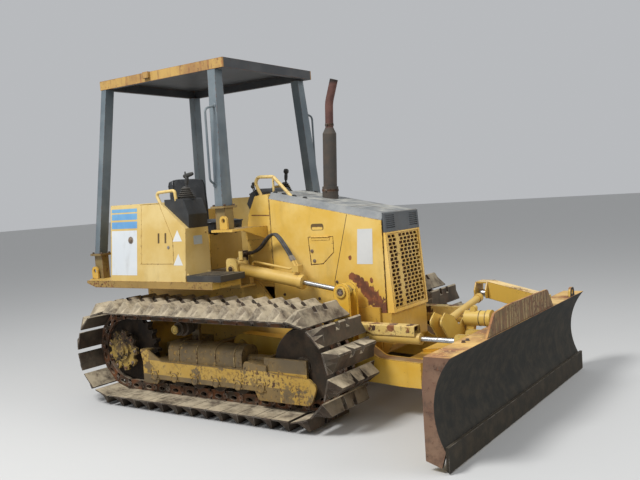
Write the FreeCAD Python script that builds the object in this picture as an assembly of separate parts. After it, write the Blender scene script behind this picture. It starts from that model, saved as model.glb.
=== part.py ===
import FreeCAD, Part
import math
import os

# Small swamp bulldozer with a power angle and tilt blade.
# Millimetres, +X forward, +Y left, +Z up, ground at z = 0.
# Lengths along X are measured from the sprocket axis; the whole machine is shifted at the end
# so that the origin lies on the ground under the middle of its outline.

V = FreeCAD.Vector
SIDES = (("right", -1), ("left", 1))

# Tracks
PITCH = 154.0
LINKS = 36
TEETH = 12
TRACK_Y = 816.0
SHOE_W = 600.0
TRACK_IN = TRACK_Y - SHOE_W / 2
SHOE_GAP = 5.0
PLATE_OUT = 50.0
RIDGE_OUT = 135.0
RIDGE_AT = 0.68
RIDGE_FLAT = 14.0
SHOE_END_CUT = 60.0
RAIL_IN = 40.0
RAIL_OUT = 41.0
RAIL_NEAR = 34.0
RAIL_T = 34.0
WHEEL_R = PITCH / (2 * math.sin(math.pi / TEETH))
AXLE_Z = RIDGE_OUT + WHEEL_R
IDLER_X = (LINKS - TEETH) * PITCH / 2
SEAT = 0.3

# Sprocket, idler and rollers
TOOTH_H = 22.0
SPROCKET_T = 52.0
HUB_R = 172.0
HUB_OUT = 118.0
HUB_CAP_R = 46.0
HUB_CORE_R = 126.0
HUB_COLLAR_R = 84.0
RING_LOBES = 9
RING_VALLEY_R = 138.0
RING_T = 26.0
HUB_CAP_OUT = 34.0
IDLER_W = 150.0
IDLER_FLANGE = 18.0
IDLER_HUB_R = 60.0
ROLLER_R = 78.0
ROLLER_FLANGE = 16.0
ROLLER_W = 196.0
ROLLERS = 6
ROLLER_FIRST_X = 385.0
ROLLER_STEP = 221.0
CARRIER_R = 54.0
CARRIER_X = 627.0
IDLER_HALF = 95.0
CARRIER_HALF = 112.0

# Track frame
BEAM_X0 = 255.0
BEAM_X1 = 1560.0
BEAM_Z0 = 226.0
BEAM_Z1 = 372.0
BEAM_TOP_T = 20.0
BEAM_HALF = 136.0
GUARD_T = 16.0
SPRING_X0 = 520.0
SPRING_X1 = 1290.0
SPRING_HALF = 100.0
SPRING_H = 160.0
SPRING_CORNER = 84.0
SPRING_BANDS = 4
BAND_T = 10.0
BAND_OUT = 6.0
TOE_X = 1990.0
TOE_Z = 160.0

# Hull and main frame
HULL_HALF = TRACK_IN - 230
HULL_PLATE = 20.0
CASE_X0 = -345.0
CASE_X1 = 470.0
CASE_Z0 = 330.0
DECK_Z = 1008.0
RAIL_X1 = 2150.0
RAIL_Z0 = 400.0
RAIL_Z1 = 760.0
BELLY_T = 12.0
SHELF_X0 = 900.0
SHELF_X1 = 1120.0
SHELF_OUT = 720.0
SHELF_Z = 1404.0
BRACKET_T = 18.0
LUG_T = 16.0
LUG_W = 78.0
LUG_H = 108.0
LUG_EYE_R = 17.0
PIN_BORE_BACK = 94.0
PIN_BORE_R = 18.0
JAW_LENGTH = 130.0
FINAL_R = 186.0
NOSE_X1 = 2235.0

# Push frame of the blade
FRAME_PIVOT_X = 950.0
FRAME_PIVOT_Z = 450.0
FRAME_PIN_R = 40.0
ARM_OUT = TRACK_IN - 16
ARM_IN = ARM_OUT - 128
BEAM_REAR_X = 2415.0
BEAM_FRONT_X = 2565.0
BEAM_LOW_Z = 232.0
BEAM_TOP_Z = 412.0
EAR_X = 1940.0
EAR_Z = 900.0
EAR_R = 66.0
EAR_T = 24.0

# Angling yoke and blade pivot
KING_X = 2600.0
KING_R = 42.0
KING_HOUSING_R = 78.0
KING_Z0 = 239.0
KING_Z1 = 405.0
FORK_T = 30.0
TILT_Z = 330.0
LOW_BOSS_R = 62.0
TOP_BOSS_R = 56.0
TOP_BOSS_Z = 655.0
BOSS_X1 = 2870.0
BOOT_R = 64.0
BOOT_X1 = 2905.0

# Blade
BLADE_HALF = 1332.0
BLADE_EDGE_X = 3130.0
BLADE_TOP_X = 3186.0
BLADE_TOP_Z = 672.0
BLADE_LOW_Z = 8.0
BLADE_SAG = 88.0
BLADE_T = 14.0
BLADE_BACK_X = 3000.0
BLADE_REAR_X = 2932.0
EDGE_T = 20.0
EDGE_H = 150.0
SPILL_TOP_Z = 826.0
LUG_Y = 1050.0
LUG_HOLE_R = 20.0
BRACKET_LOW = 735.0
BRACKET_TOP = 862.0
END_T = 20.0
CLEVIS_HALF = 84.0
CLEVIS_T = 16.0

# Cylinders: pins, lengths and radii
LIFT_PIN_X = 895.0
LIFT_PIN_Z = 1070.0
LIFT_Y = (ARM_IN + ARM_OUT) / 2
LIFT_BARREL = 680.0
LIFT_R = 50.0
LIFT_ROD_R = 20.0
LIFT_FOOT = 108.0
ANGLE_PIN_X = 2080.0
ANGLE_EYE_X = 2884.0
ANGLE_Y = TRACK_IN - 82
ANGLE_Z = 572.0
ANGLE_BARREL = 470.0
ANGLE_R = 41.0
ANGLE_ROD_R = 18.0
ANGLE_LUG_R = 36.0
GUARD_HALF = 46.0
GUARD_WALL = 4.4
GUARD_LOW = 22.0
GUARD_TOP = 96.0
GUARD_X0 = 2030.0
GUARD_X1 = 2520.0
TILT_X = 2650.0
TILT_BASE_Y = -250.0
TILT_BASE_Z = 660.0
TILT_EYE_Y = 500.0
TILT_EYE_Z = 765.0
TILT_BARREL = 640.0
TILT_R = 27.0
TILT_ROD_R = 15.0
SLIP = 0.3
PIN_CLEAR = 0.3

# Pipe, block and hoses of the lift cylinders
LINE_R = 9.0
LINE_REAR = (1062.0, 1128.0)
LINE_FRONT = (1430.0, 1066.0)
PORT_X0 = 1480.0
PORT_X1 = 1540.0
PORT_Z0 = 1000.0
PORT_Z1 = 1094.0
PORT_HALF = 34.0
FITTING_R = 12.5
HOSE_APART = 28.0

# Hood, mask and dash
HOOD_HALF = HULL_HALF
HOOD_T = 4.0
HOOD_X0 = 1150.0
HOOD_X1 = 2195.0
HOOD_Z0 = 720.0
HOOD_REAR_Z = 1622.0
HOOD_FRONT_Z = 1412.0
MASK_X_LOW = 2260.0
MASK_X_TOP = 2218.0
MASK_DEPTH = 60.0
MASK_HALF = HOOD_HALF - 13
MASK_Z0 = 718.0
MASK_Z1 = 1319.0
CAP_Z1 = 1468.0
LOUVRES = 7
LOUVRE_Z0 = 1348.0
LOUVRE_STEP = 15.0
LOUVRE_H = 7.0
LOUVRE_DEEP = 16.0
LOUVRE_IN = 118.0
LOUVRE_OUT = 250.0
GRILLE_ROWS = 19
GRILLE_W = 46.0
GRILLE_H = 20.0
GRILLE_EDGE = 6.0
GRILLE_SHIFT = 7.0
HOOD_CROWN = 52.0
COWL_X0 = 960.0
COWL_Z0 = 1353.0
ENGINE_X0 = 1260.0
ENGINE_X1 = 1940.0
ENGINE_Z0 = 560.0

# Exhaust
STACK_X = 1533.0
STACK_Y = 50.0
STACK_LEAN = math.radians(3.3)
MUFFLER_R = 56.0
MUFFLER_Z0 = 1600.0
MUFFLER_Z1 = 2120.0
PIPE_R = 33.0
PIPE_Z1 = 2560.0

# Operator's station
FENDER_Z0 = 950.0
FENDER_X0 = -474.0
FENDER_X1 = 1005.0
FENDER_NOTCH_X = 790.0
FENDER_NOTCH_Y = LIFT_Y + 94
FENDER_OUT = 866.0
TANK_X0 = -162.0
TANK_X1 = 720.0
TANK_OUT = 862.0
TANK_OUT_TOP = 800.0
TANK_IN = 560.0
TANK_Z0 = DECK_Z + SEAT
TANK_Z1 = 1648.0
TANK_CUT_X = 437.0
TANK_CUT_Z = 1430.0
DOOR_T = 5.0
FLOOR_Z = 1028.0
SEAT_HALF = 235.0
SEAT_X0 = -60.0
SEAT_X1 = 470.0
STEP_X1 = 1080.0
STEP_Z = 1058.0
CUSHION_Z0 = 1345.0
CUSHION_Z1 = 1470.0
BACK_Z1 = 1862.0

# Canopy
ROOF_X0 = -410.0
ROOF_X1 = 1040.0
ROOF_HALF = 601.0
ROOF_Z0 = 2674.0
ROOF_Z1 = 2752.0
POST_LEAN = 4.8
POST_OUT = 598.0
ROOF_BOX_X = 195.0
ROOF_BOX_OUT = 26.0
GRAB_R = 9.0
GRAB_Y = 728.0
GRAB_Z0 = 1760.0
GRAB_Z1 = 2385.0


def outline(points):
    """Closed wire through points (V, corner radius): straight runs joined by tangent arcs."""
    count = len(points)
    edges = []
    starts = []
    ends = []
    for i, (p, r) in enumerate(points):
        a = (points[i - 1][0] - p).normalize()
        b = (points[(i + 1) % count][0] - p).normalize()
        if r <= 0:
            starts.append(p)
            ends.append(p)
            edges.append(None)
            continue
        half = a.getAngle(b) / 2
        reach = r / math.tan(half)
        middle = (a + b).normalize()
        centre = p + middle * (r / math.sin(half))
        first = p + a * reach
        last = p + b * reach
        starts.append(first)
        ends.append(last)
        edges.append(Part.Arc(first, centre - middle * r, last).toShape())
    wire = []
    for i in range(count):
        if edges[i]:
            wire.append(edges[i])
        following = starts[(i + 1) % count]
        if (following - ends[i]).Length > 1e-6:
            wire.append(Part.LineSegment(ends[i], following).toShape())
    return Part.Wire(wire)


def prism(points, along, start, length):
    """Outline of (a, b) or (a, b, radius) points pushed along X, Y or Z from start."""
    place = {
        "x": lambda a, b: V(start, a, b),
        "y": lambda a, b: V(a, start, b),
        "z": lambda a, b: V(a, b, start),
    }[along]
    step = {"x": V(length, 0, 0), "y": V(0, length, 0), "z": V(0, 0, length)}[along]
    corners = [(place(p[0], p[1]), p[2] if len(p) > 2 else 0) for p in points]
    return Part.Face(outline(corners)).extrude(step)


def block(x0, x1, y0, y1, z0, z1):
    low = V(min(x0, x1), min(y0, y1), min(z0, z1))
    return Part.makeBox(abs(x1 - x0), abs(y1 - y0), abs(z1 - z0), low)


def rod(start, end, radius):
    step = end - start
    return Part.makeCylinder(radius, step.Length, start, step)


def bent_bar(points, radius, bend):
    """Round bar along points: straight runs joined by ring segments of the bend radius."""
    pieces = []
    last = points[0]
    for i in range(1, len(points) - 1):
        p = points[i]
        a = (points[i - 1] - p).normalize()
        b = (points[i + 1] - p).normalize()
        half = a.getAngle(b) / 2
        reach = bend / math.tan(half)
        first = p + a * reach
        centre = p + (a + b).normalize() * (bend / math.sin(half))
        disc = Part.Face(Part.Wire(Part.Circle(first, a, radius).toShape()))
        pieces.append(rod(last, first, radius))
        pieces.append(disc.revolve(centre, b.cross(a), math.degrees(math.pi - 2 * half)))
        last = p + b * reach
    pieces.append(rod(last, points[-1], radius))
    return fuse(pieces)


def fuse(solids):
    return solids[0].multiFuse(solids[1:]).removeSplitter() if len(solids) > 1 else solids[0]


def loop_point(distance, out):
    """Point and heading on the chain line, distance mm from the front end of the lower run."""
    straight = IDLER_X
    turn = math.pi * WHEEL_R
    d = distance % (2 * straight + 2 * turn)
    if d < straight:
        return V(IDLER_X - d, 0, AXLE_Z - WHEEL_R - out), math.pi
    d -= straight
    if d < turn:
        a = -math.pi / 2 - d / WHEEL_R
        r = WHEEL_R + out
        return V(r * math.cos(a), 0, AXLE_Z + r * math.sin(a)), a - math.pi / 2
    d -= turn
    if d < straight:
        return V(d, 0, AXLE_Z + WHEEL_R + out), 0.0
    d -= straight
    a = math.pi / 2 - d / WHEEL_R
    r = WHEEL_R + out
    return V(IDLER_X + r * math.cos(a), 0, AXLE_Z + r * math.sin(a)), a - math.pi / 2


def loop_band(offset, y0, width):
    """Solid filling the loop at an offset from the chain line."""
    r = WHEEL_R + offset
    low = AXLE_Z - r
    high = AXLE_Z + r
    edges = [
        Part.LineSegment(V(IDLER_X, y0, low), V(0, y0, low)).toShape(),
        Part.Arc(V(0, y0, low), V(-r, y0, AXLE_Z), V(0, y0, high)).toShape(),
        Part.LineSegment(V(0, y0, high), V(IDLER_X, y0, high)).toShape(),
        Part.Arc(V(IDLER_X, y0, high), V(IDLER_X + r, y0, AXLE_Z), V(IDLER_X, y0, low)).toShape(),
    ]
    return Part.Face(Part.Wire(edges)).extrude(V(0, width, 0))


def shoe(number, side):
    """One ridged swamp shoe: a triangular bar across the track with cut ends."""
    length = 2 * IDLER_X + 2 * math.pi * WHEEL_R
    middle = (number + 0.5) * length / LINKS
    base, heading = loop_point(middle, 0)
    along = V(math.cos(heading), 0, math.sin(heading))
    outward = V(-along.z, 0, along.x)
    reach = PITCH / 2 - SHOE_GAP / 2
    ridge = PITCH * (0.5 - RIDGE_AT)
    y0 = side * TRACK_Y - SHOE_W / 2
    profile = [
        (-reach, RAIL_OUT - SLIP), (reach, RAIL_OUT - SLIP), (reach, PLATE_OUT),
        (ridge + RIDGE_FLAT / 2, RIDGE_OUT), (ridge - RIDGE_FLAT / 2, RIDGE_OUT), (-reach, PLATE_OUT),
    ]
    corners = []
    for t, n in profile:
        p = base + along * t + outward * n
        corners.append((V(p.x, y0, p.z), 0))
    bar = Part.Face(outline(corners)).extrude(V(0, SHOE_W, 0))
    wedges = []
    for end, inward in ((y0, 1), (y0 + SHOE_W, -1)):
        tip = [(0, PLATE_OUT), (-1, PLATE_OUT), (-1, RIDGE_OUT + 5), (SHOE_END_CUT, RIDGE_OUT + 5)]
        wire = []
        for w, n in tip:
            p = base + along * (-PITCH) + outward * n
            wire.append((V(p.x, end + inward * w, p.z), 0))
        wedges.append(Part.Face(outline(wire)).extrude(along * (2 * PITCH)))
    return bar.cut(wedges[0]).cut(wedges[1])


def track(side):
    """Fixed loop of two chain rails with all its shoes."""
    rails = []
    for inner in (RAIL_NEAR, -RAIL_NEAR - RAIL_T):
        y0 = side * TRACK_Y + inner
        rails.append(loop_band(RAIL_OUT, y0, RAIL_T).cut(loop_band(-RAIL_IN, y0, RAIL_T)))
    return fuse(rails + [shoe(i, side) for i in range(LINKS)])


def sprocket(side):
    """Toothed ring between the chain rails with its bolted hub outside."""
    y0 = side * TRACK_Y - SPROCKET_T / 2
    points = []
    for i in range(2 * TEETH):
        for share, r in ((-0.30, -14.0), (-0.12, TOOTH_H), (0.12, TOOTH_H), (0.30, -14.0)):
            a = 2 * math.pi * (i + share) / (2 * TEETH)
            points.append(((WHEEL_R + r) * math.cos(a), AXLE_Z + (WHEEL_R + r) * math.sin(a)))
    teeth = prism(points, "y", y0, SPROCKET_T)
    outer = side * (TRACK_Y + HUB_OUT)
    hub = rod(V(0, side * TRACK_Y, AXLE_Z), V(0, outer, AXLE_Z), HUB_CORE_R)
    # lobed ring that is bolted to the hub
    lobes = []
    for i in range(RING_LOBES):
        for share, r in ((-0.36, RING_VALLEY_R), (-0.22, HUB_R), (0.22, HUB_R), (0.36, RING_VALLEY_R)):
            a = 2 * math.pi * (i + share) / RING_LOBES
            lobes.append((r * math.cos(a), AXLE_Z + r * math.sin(a)))
    ring = prism(lobes, "y", min(outer - side * RING_T, outer), RING_T)
    collar = rod(V(0, outer, AXLE_Z), V(0, outer + side * HUB_CAP_OUT / 2, AXLE_Z), HUB_COLLAR_R)
    cap = rod(V(0, outer, AXLE_Z), V(0, outer + side * HUB_CAP_OUT, AXLE_Z), HUB_CAP_R)
    return fuse([teeth, hub, ring, collar, cap])


def wheel(x, z, radius, width, flange_r, flange_w, hub_r, hub_w, side):
    y = side * TRACK_Y
    tread = rod(V(x, y - width / 2, z), V(x, y + width / 2, z), radius)
    centre = rod(V(x, y - flange_w / 2, z), V(x, y + flange_w / 2, z), flange_r)
    hub = rod(V(x, y - hub_w / 2, z), V(x, y + hub_w / 2, z), hub_r)
    return fuse([tread, centre, hub])


def rollers(side):
    """Six track rollers, the carrier roller and the idler of one side, as loose solids."""
    tread = RAIL_IN + SEAT
    solids = []
    z = AXLE_Z - WHEEL_R + tread + ROLLER_R
    for i in range(ROLLERS):
        x = ROLLER_FIRST_X + i * ROLLER_STEP
        solids.append(wheel(x, z, ROLLER_R, ROLLER_W, ROLLER_R + ROLLER_FLANGE, 56, 30,
                            2 * (BEAM_HALF - GUARD_T - SEAT), side))
    z = AXLE_Z + WHEEL_R - tread - CARRIER_R
    solids.append(wheel(CARRIER_X, z, CARRIER_R, 150, CARRIER_R + 12, 56, 36, 2 * CARRIER_HALF, side))
    radius = WHEEL_R - tread
    solids.append(wheel(IDLER_X, AXLE_Z, radius, IDLER_W, radius + IDLER_FLANGE, 56, IDLER_HUB_R,
                        2 * IDLER_HALF, side))
    return solids


def track_frame(side):
    """Channel over the rollers with a spring case, toe guard, carrier bracket and inboard legs."""
    y = side * TRACK_Y
    low = BEAM_HALF - GUARD_T
    pieces = [block(BEAM_X0 + 80, BEAM_X1, y - BEAM_HALF, y + BEAM_HALF, BEAM_Z1 - BEAM_TOP_T, BEAM_Z1)]
    for edge in (-BEAM_HALF, low):
        # side plate that carries the roller shafts, with a rounded toe beside the idler
        points = [(BEAM_X0, BEAM_Z1), (BEAM_X0, BEAM_Z0 - 40, 20), (BEAM_X0 + 150, BEAM_Z0 - 40),
                  (BEAM_X0 + 180, BEAM_Z0), (BEAM_X1 - 130, BEAM_Z0), (BEAM_X1 - 100, TOE_Z, 20),
                  (TOE_X - 60, TOE_Z, 60), (TOE_X, BEAM_Z1 - 70, 40), (TOE_X - 60, BEAM_Z1 - 20, 30),
                  (BEAM_X1, BEAM_Z1)]
        pieces.append(prism(points, "y", y + edge, GUARD_T))
    # recoil spring case with raised bands
    span = SPRING_X1 - SPRING_X0
    rings = [(SPRING_X0, span, 0)]
    for i in range(SPRING_BANDS):
        rings.append((SPRING_X0 + (i + 0.6) * span / SPRING_BANDS, BAND_T, BAND_OUT))
    for x, length, proud in rings:
        half = SPRING_HALF + proud
        top = BEAM_Z1 + SPRING_H + proud
        corner = SPRING_CORNER + proud
        pieces.append(prism([(y - half, BEAM_Z1 - 5), (y + half, BEAM_Z1 - 5), (y + half, top, corner),
                             (y - half, top, corner)], "x", x, length))
    # bracket beside the sprocket and cover behind the idler, both on the outer side
    face = y + side * low
    bracket = [(BEAM_X0, BEAM_Z1 - 10), (BEAM_X0 - 24, BEAM_Z1 + 84, 8), (BEAM_X0 + 66, BEAM_Z1 + 84, 8),
               (BEAM_X0 + 230, BEAM_Z1 - 10)]
    pieces.append(prism(bracket, "y", min(face, face + side * GUARD_T), GUARD_T))
    pieces.append(block(BEAM_X0 - 20, BEAM_X0 + 60, y + side * 52, y + side * BEAM_HALF, BEAM_Z1 + 76, BEAM_Z1 + 88))
    pieces.append(prism([(SPRING_X1 + 40, BEAM_Z1 - 5), (BEAM_X1 - 10, BEAM_Z1 - 5), (BEAM_X1 - 10, BEAM_Z1 + 46, 8),
                         (SPRING_X1 + 60, BEAM_Z1 + 66, 12), (SPRING_X1 + 40, BEAM_Z1 + 40, 8)],
                        "y", min(y + side * 30, y + side * BEAM_HALF), BEAM_HALF - 30))
    pieces.append(rod(V(SPRING_X1 - 5, y, AXLE_Z), V(BEAM_X1, y, AXLE_Z), 34))
    # fork that holds the idler shaft
    for edge in (-low + 1, low - 22):
        pieces.append(block(BEAM_X1 - 40, IDLER_X + 50, y + edge, y + edge + 21, BEAM_Z1 - 24, AXLE_Z + 44))
    pieces.append(block(BEAM_X1 - 40, BEAM_X1, y - low, y + low, BEAM_Z1 - 24, AXLE_Z + 44))
    for edge in (-low, IDLER_HALF + SEAT):
        pieces.append(rod(V(IDLER_X, y + edge, AXLE_Z), V(IDLER_X, y + edge + low - IDLER_HALF - SEAT, AXLE_Z), 40))
    shaft_z = AXLE_Z + WHEEL_R - RAIL_IN - SEAT - CARRIER_R
    outer = y - side * (CARRIER_HALF + 34)
    pieces.append(block(CARRIER_X - 40, CARRIER_X + 40, outer, y - side * (CARRIER_HALF + 6), BEAM_Z1 - 10, 600))
    pieces.append(rod(V(CARRIER_X, outer, shaft_z), V(CARRIER_X, y - side * (CARRIER_HALF + SEAT), shaft_z), 44))
    # inboard legs that join the beam to the hull
    for x0, x1 in ((BEAM_X0 + 20, BEAM_X0 + 200), (700, 790)):
        pieces.append(block(x0, x1, side * (HULL_HALF + HULL_PLATE), y - side * (low + 4), BEAM_Z1 - 42, BEAM_Z1 + 98))
    return fuse(pieces)


def main_frame():
    """Rear case, side rails, belly, nose, crossmembers, pivot pins and final drives."""
    pieces = [prism([(CASE_X0, CASE_Z0 + 70, 60), (CASE_X0 + 90, CASE_Z0, 40), (CASE_X1, CASE_Z0),
                     (CASE_X1, DECK_Z), (CASE_X0, DECK_Z, 40)], "y", -HULL_HALF, 2 * HULL_HALF)]
    outside = HULL_HALF + HULL_PLATE
    under = FENDER_Z0 - SEAT
    for name, s in SIDES:
        y0 = s * HULL_HALF
        rail = prism([(CASE_X0 + 60, CASE_Z0 + 60), (CASE_X1, RAIL_Z0), (RAIL_X1, RAIL_Z0, 30),
                      (RAIL_X1, RAIL_Z1), (CASE_X1 + 700, RAIL_Z1), (CASE_X1 + 530, under),
                      (CASE_X0 + 60, under)], "y", min(y0, s * outside), HULL_PLATE)
        pieces.append(rail)
        pieces.append(rod(V(0, y0, AXLE_Z), V(0, s * (TRACK_Y - SPROCKET_T / 2 - SEAT), AXLE_Z), FINAL_R))
        # pivot pin of the push frame on its boss
        pivot = V(FRAME_PIVOT_X, y0, FRAME_PIVOT_Z)
        pieces.append(rod(pivot, V(FRAME_PIVOT_X, s * (ARM_IN - 6), FRAME_PIVOT_Z), 78))
        pieces.append(rod(pivot, V(FRAME_PIVOT_X, s * (ARM_OUT + 6), FRAME_PIVOT_Z), FRAME_PIN_R))
    pieces.append(block(CASE_X1, RAIL_X1, -HULL_HALF, HULL_HALF, RAIL_Z0, RAIL_Z0 + BELLY_T))
    top = MASK_Z0 - SEAT
    pieces.append(prism([(RAIL_X1 - 200, RAIL_Z0), (NOSE_X1 - 50, RAIL_Z0 + 20, 40), (NOSE_X1, 480, 20),
                         (NOSE_X1, top), (RAIL_X1 - 200, top)], "y", -HULL_HALF, 2 * HULL_HALF))
    # crossmembers under the engine
    for x in (ENGINE_X0 + 40, ENGINE_X1 - 140):
        pieces.append(block(x, x + 100, -HULL_HALF, HULL_HALF, RAIL_Z0, ENGINE_Z0 - SEAT))
    return fuse(pieces)


def eye_lug(x, y, z):
    """Upright plate with a round top and an eye, standing on a flat face at z."""
    half = LUG_W / 2
    plate = prism([(x - half, z), (x + half, z), (x + half, z + LUG_H, half - 1), (x - half, z + LUG_H, half - 1)],
                  "y", y, LUG_T)
    eye = z + LUG_H - half
    return plate.cut(rod(V(x, y - 1, eye), V(x, y + LUG_T + 1, eye), LUG_EYE_R))


def rear_beam():
    """Cross beam behind the fenders and the two arms that carry it on the rear case."""
    beams = [block(FENDER_X0 - 86, FENDER_X0 - SEAT, -760, 760, FENDER_Z0, DECK_Z)]
    for name, s in SIDES:
        beams.append(block(FENDER_X0, CASE_X0 - SEAT, s * (HULL_HALF - 86), s * (HULL_HALF - 16), FENDER_Z0, DECK_Z))
        beams.append(eye_lug(FENDER_X0 - 43, s * 731 - LUG_T / 2, DECK_Z + SEAT))
    return Part.makeCompound(beams)


def lift_brackets():
    """Bracket of each lift cylinder on the hull: two plates, a foot and a pin."""
    brackets = []
    for name, s in SIDES:
        y0 = s * (HULL_HALF + HULL_PLATE)
        inner = LIFT_Y - LIFT_FOOT / 2 - 2
        outer = LIFT_Y + LIFT_FOOT / 2 + 2 + BRACKET_T
        pieces = []
        for a in (inner - BRACKET_T, outer - BRACKET_T):
            points = [(LIFT_PIN_X - 62, 930), (LIFT_PIN_X + 80, 930), (LIFT_PIN_X + 58, LIFT_PIN_Z + 84, 30),
                      (LIFT_PIN_X - 50, LIFT_PIN_Z + 92, 30)]
            pieces.append(prism(points, "y", min(s * a, s * (a + BRACKET_T)), BRACKET_T))
        pieces.append(block(LIFT_PIN_X - 62, LIFT_PIN_X + 80, y0, s * outer, 912, 932))
        pieces.append(block(LIFT_PIN_X - 62, LIFT_PIN_X + 60, y0, s * inner, 932, 1000))
        pieces.append(rod(V(LIFT_PIN_X, s * inner, LIFT_PIN_Z), V(LIFT_PIN_X, s * (outer + 8), LIFT_PIN_Z), 28))
        # manifold at whose front the hoses start
        start = HOSE_POINTS[0]
        pieces.append(block(start[0] - 74, start[0] - 30, s * (HULL_HALF + HULL_PLATE + 8), s * (inner + 6),
                            LIFT_PIN_Z + 60, start[2] + 20))
        for shift in (0, HOSE_APART):
            y = s * (start[1] + shift)
            pieces.append(rod(V(start[0] - 40, y, start[2]), V(start[0] - SEAT, y, start[2]), FITTING_R))
        brackets.append(fuse(pieces))
    return Part.makeCompound(brackets)


# Middle line of the inner rubber hose of a lift cylinder, whose steel ends are modelled here:
# x, distance from the machine's middle, z
HOSE_POINTS = (
    (950.0, 336.0, 1186.0),
    (1055.0, 338.0, 1186.0),
    (1210.0, 352.0, 1345.0),
    (1345.0, 408.0, 1330.0),
    (1478.0, 422.0, 1128.0),
)


def hose_runs(s, shift):
    """Points of one hose on a side, moved outward by a shift."""
    return [V(x, s * (y + shift), z) for x, y, z in HOSE_POINTS]


def lift_line(side):
    """Steel pipe along the barrel of a lift cylinder, with its block and the ends of the hoses."""
    y = side * LIFT_Y
    axis_z = LIFT_PIN_Z + (EAR_Z - LIFT_PIN_Z) * (LINE_REAR[0] - LIFT_PIN_X) / (EAR_X - LIFT_PIN_X)
    pipe = bent_bar([V(LINE_REAR[0], y, axis_z), V(LINE_REAR[0], y, LINE_REAR[1]),
                     V(LINE_FRONT[0], y, LINE_FRONT[1]), V(PORT_X0 + 12, y, PORT_Z1 - 12)], LINE_R, 24)
    port = block(PORT_X0, PORT_X1, y - PORT_HALF, y + PORT_HALF, PORT_Z1 - 50, PORT_Z1)
    stand = block(PORT_X0 + 14, PORT_X1 - 14, y - 12, y + 12, PORT_Z0, PORT_Z1 - 40)
    pieces = [pipe, port, stand]
    for shift in (0, HOSE_APART):
        runs = hose_runs(side, shift)
        way = (runs[-1] - runs[-2]).normalize()
        pieces.append(rod(runs[-1] + way * SEAT, runs[-1] + way * 52, FITTING_R))
    return pieces


def front_bulkhead():
    """Cross wall and body sides under the dash, with the shelves that carry the front posts."""
    top = COWL_Z0 - SEAT
    pieces = [block(SHELF_X0, SHELF_X0 + 24, -HULL_HALF, HULL_HALF, 900, top)]
    for name, s in SIDES:
        y0 = s * HULL_HALF
        pieces.append(block(SHELF_X0, HOOD_X0, s * (HULL_HALF - 24), y0, 900, top))
        pieces.append(block(SHELF_X0, SHELF_X1, y0, s * SHELF_OUT, SHELF_Z - 20, SHELF_Z))
        pieces.append(block(SHELF_X0, SHELF_X1, y0, s * (HULL_HALF + 14), SHELF_Z - 114, SHELF_Z))
        pieces.append(prism([(y0, SHELF_Z - 114), (y0, SHELF_Z - 20), (s * (SHELF_OUT - 140), SHELF_Z - 20)],
                            "x", SHELF_X1 - 20, 20))
    lugs = [eye_lug(SHELF_X0 + 124, s * (SHELF_OUT - 18) - LUG_T / 2, SHELF_Z + SEAT) for name, s in SIDES]
    return Part.makeCompound([fuse(pieces)] + lugs)


def drawbar():
    """Rear hitch: jaw plates with a pin bore."""
    back = CASE_X0 - SEAT
    end = back - JAW_LENGTH
    jaws = [prism([(end, -70, 50), (back, -110), (back, 110), (end, 70, 50)], "z", z, 24) for z in (490, 580)]
    jaw = fuse(jaws + [block(back - 30, back, -110, 110, 464, 630)])
    return jaw.cut(rod(V(CASE_X0 - PIN_BORE_BACK, 0, 400), V(CASE_X0 - PIN_BORE_BACK, 0, 650), PIN_BORE_R))


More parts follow.
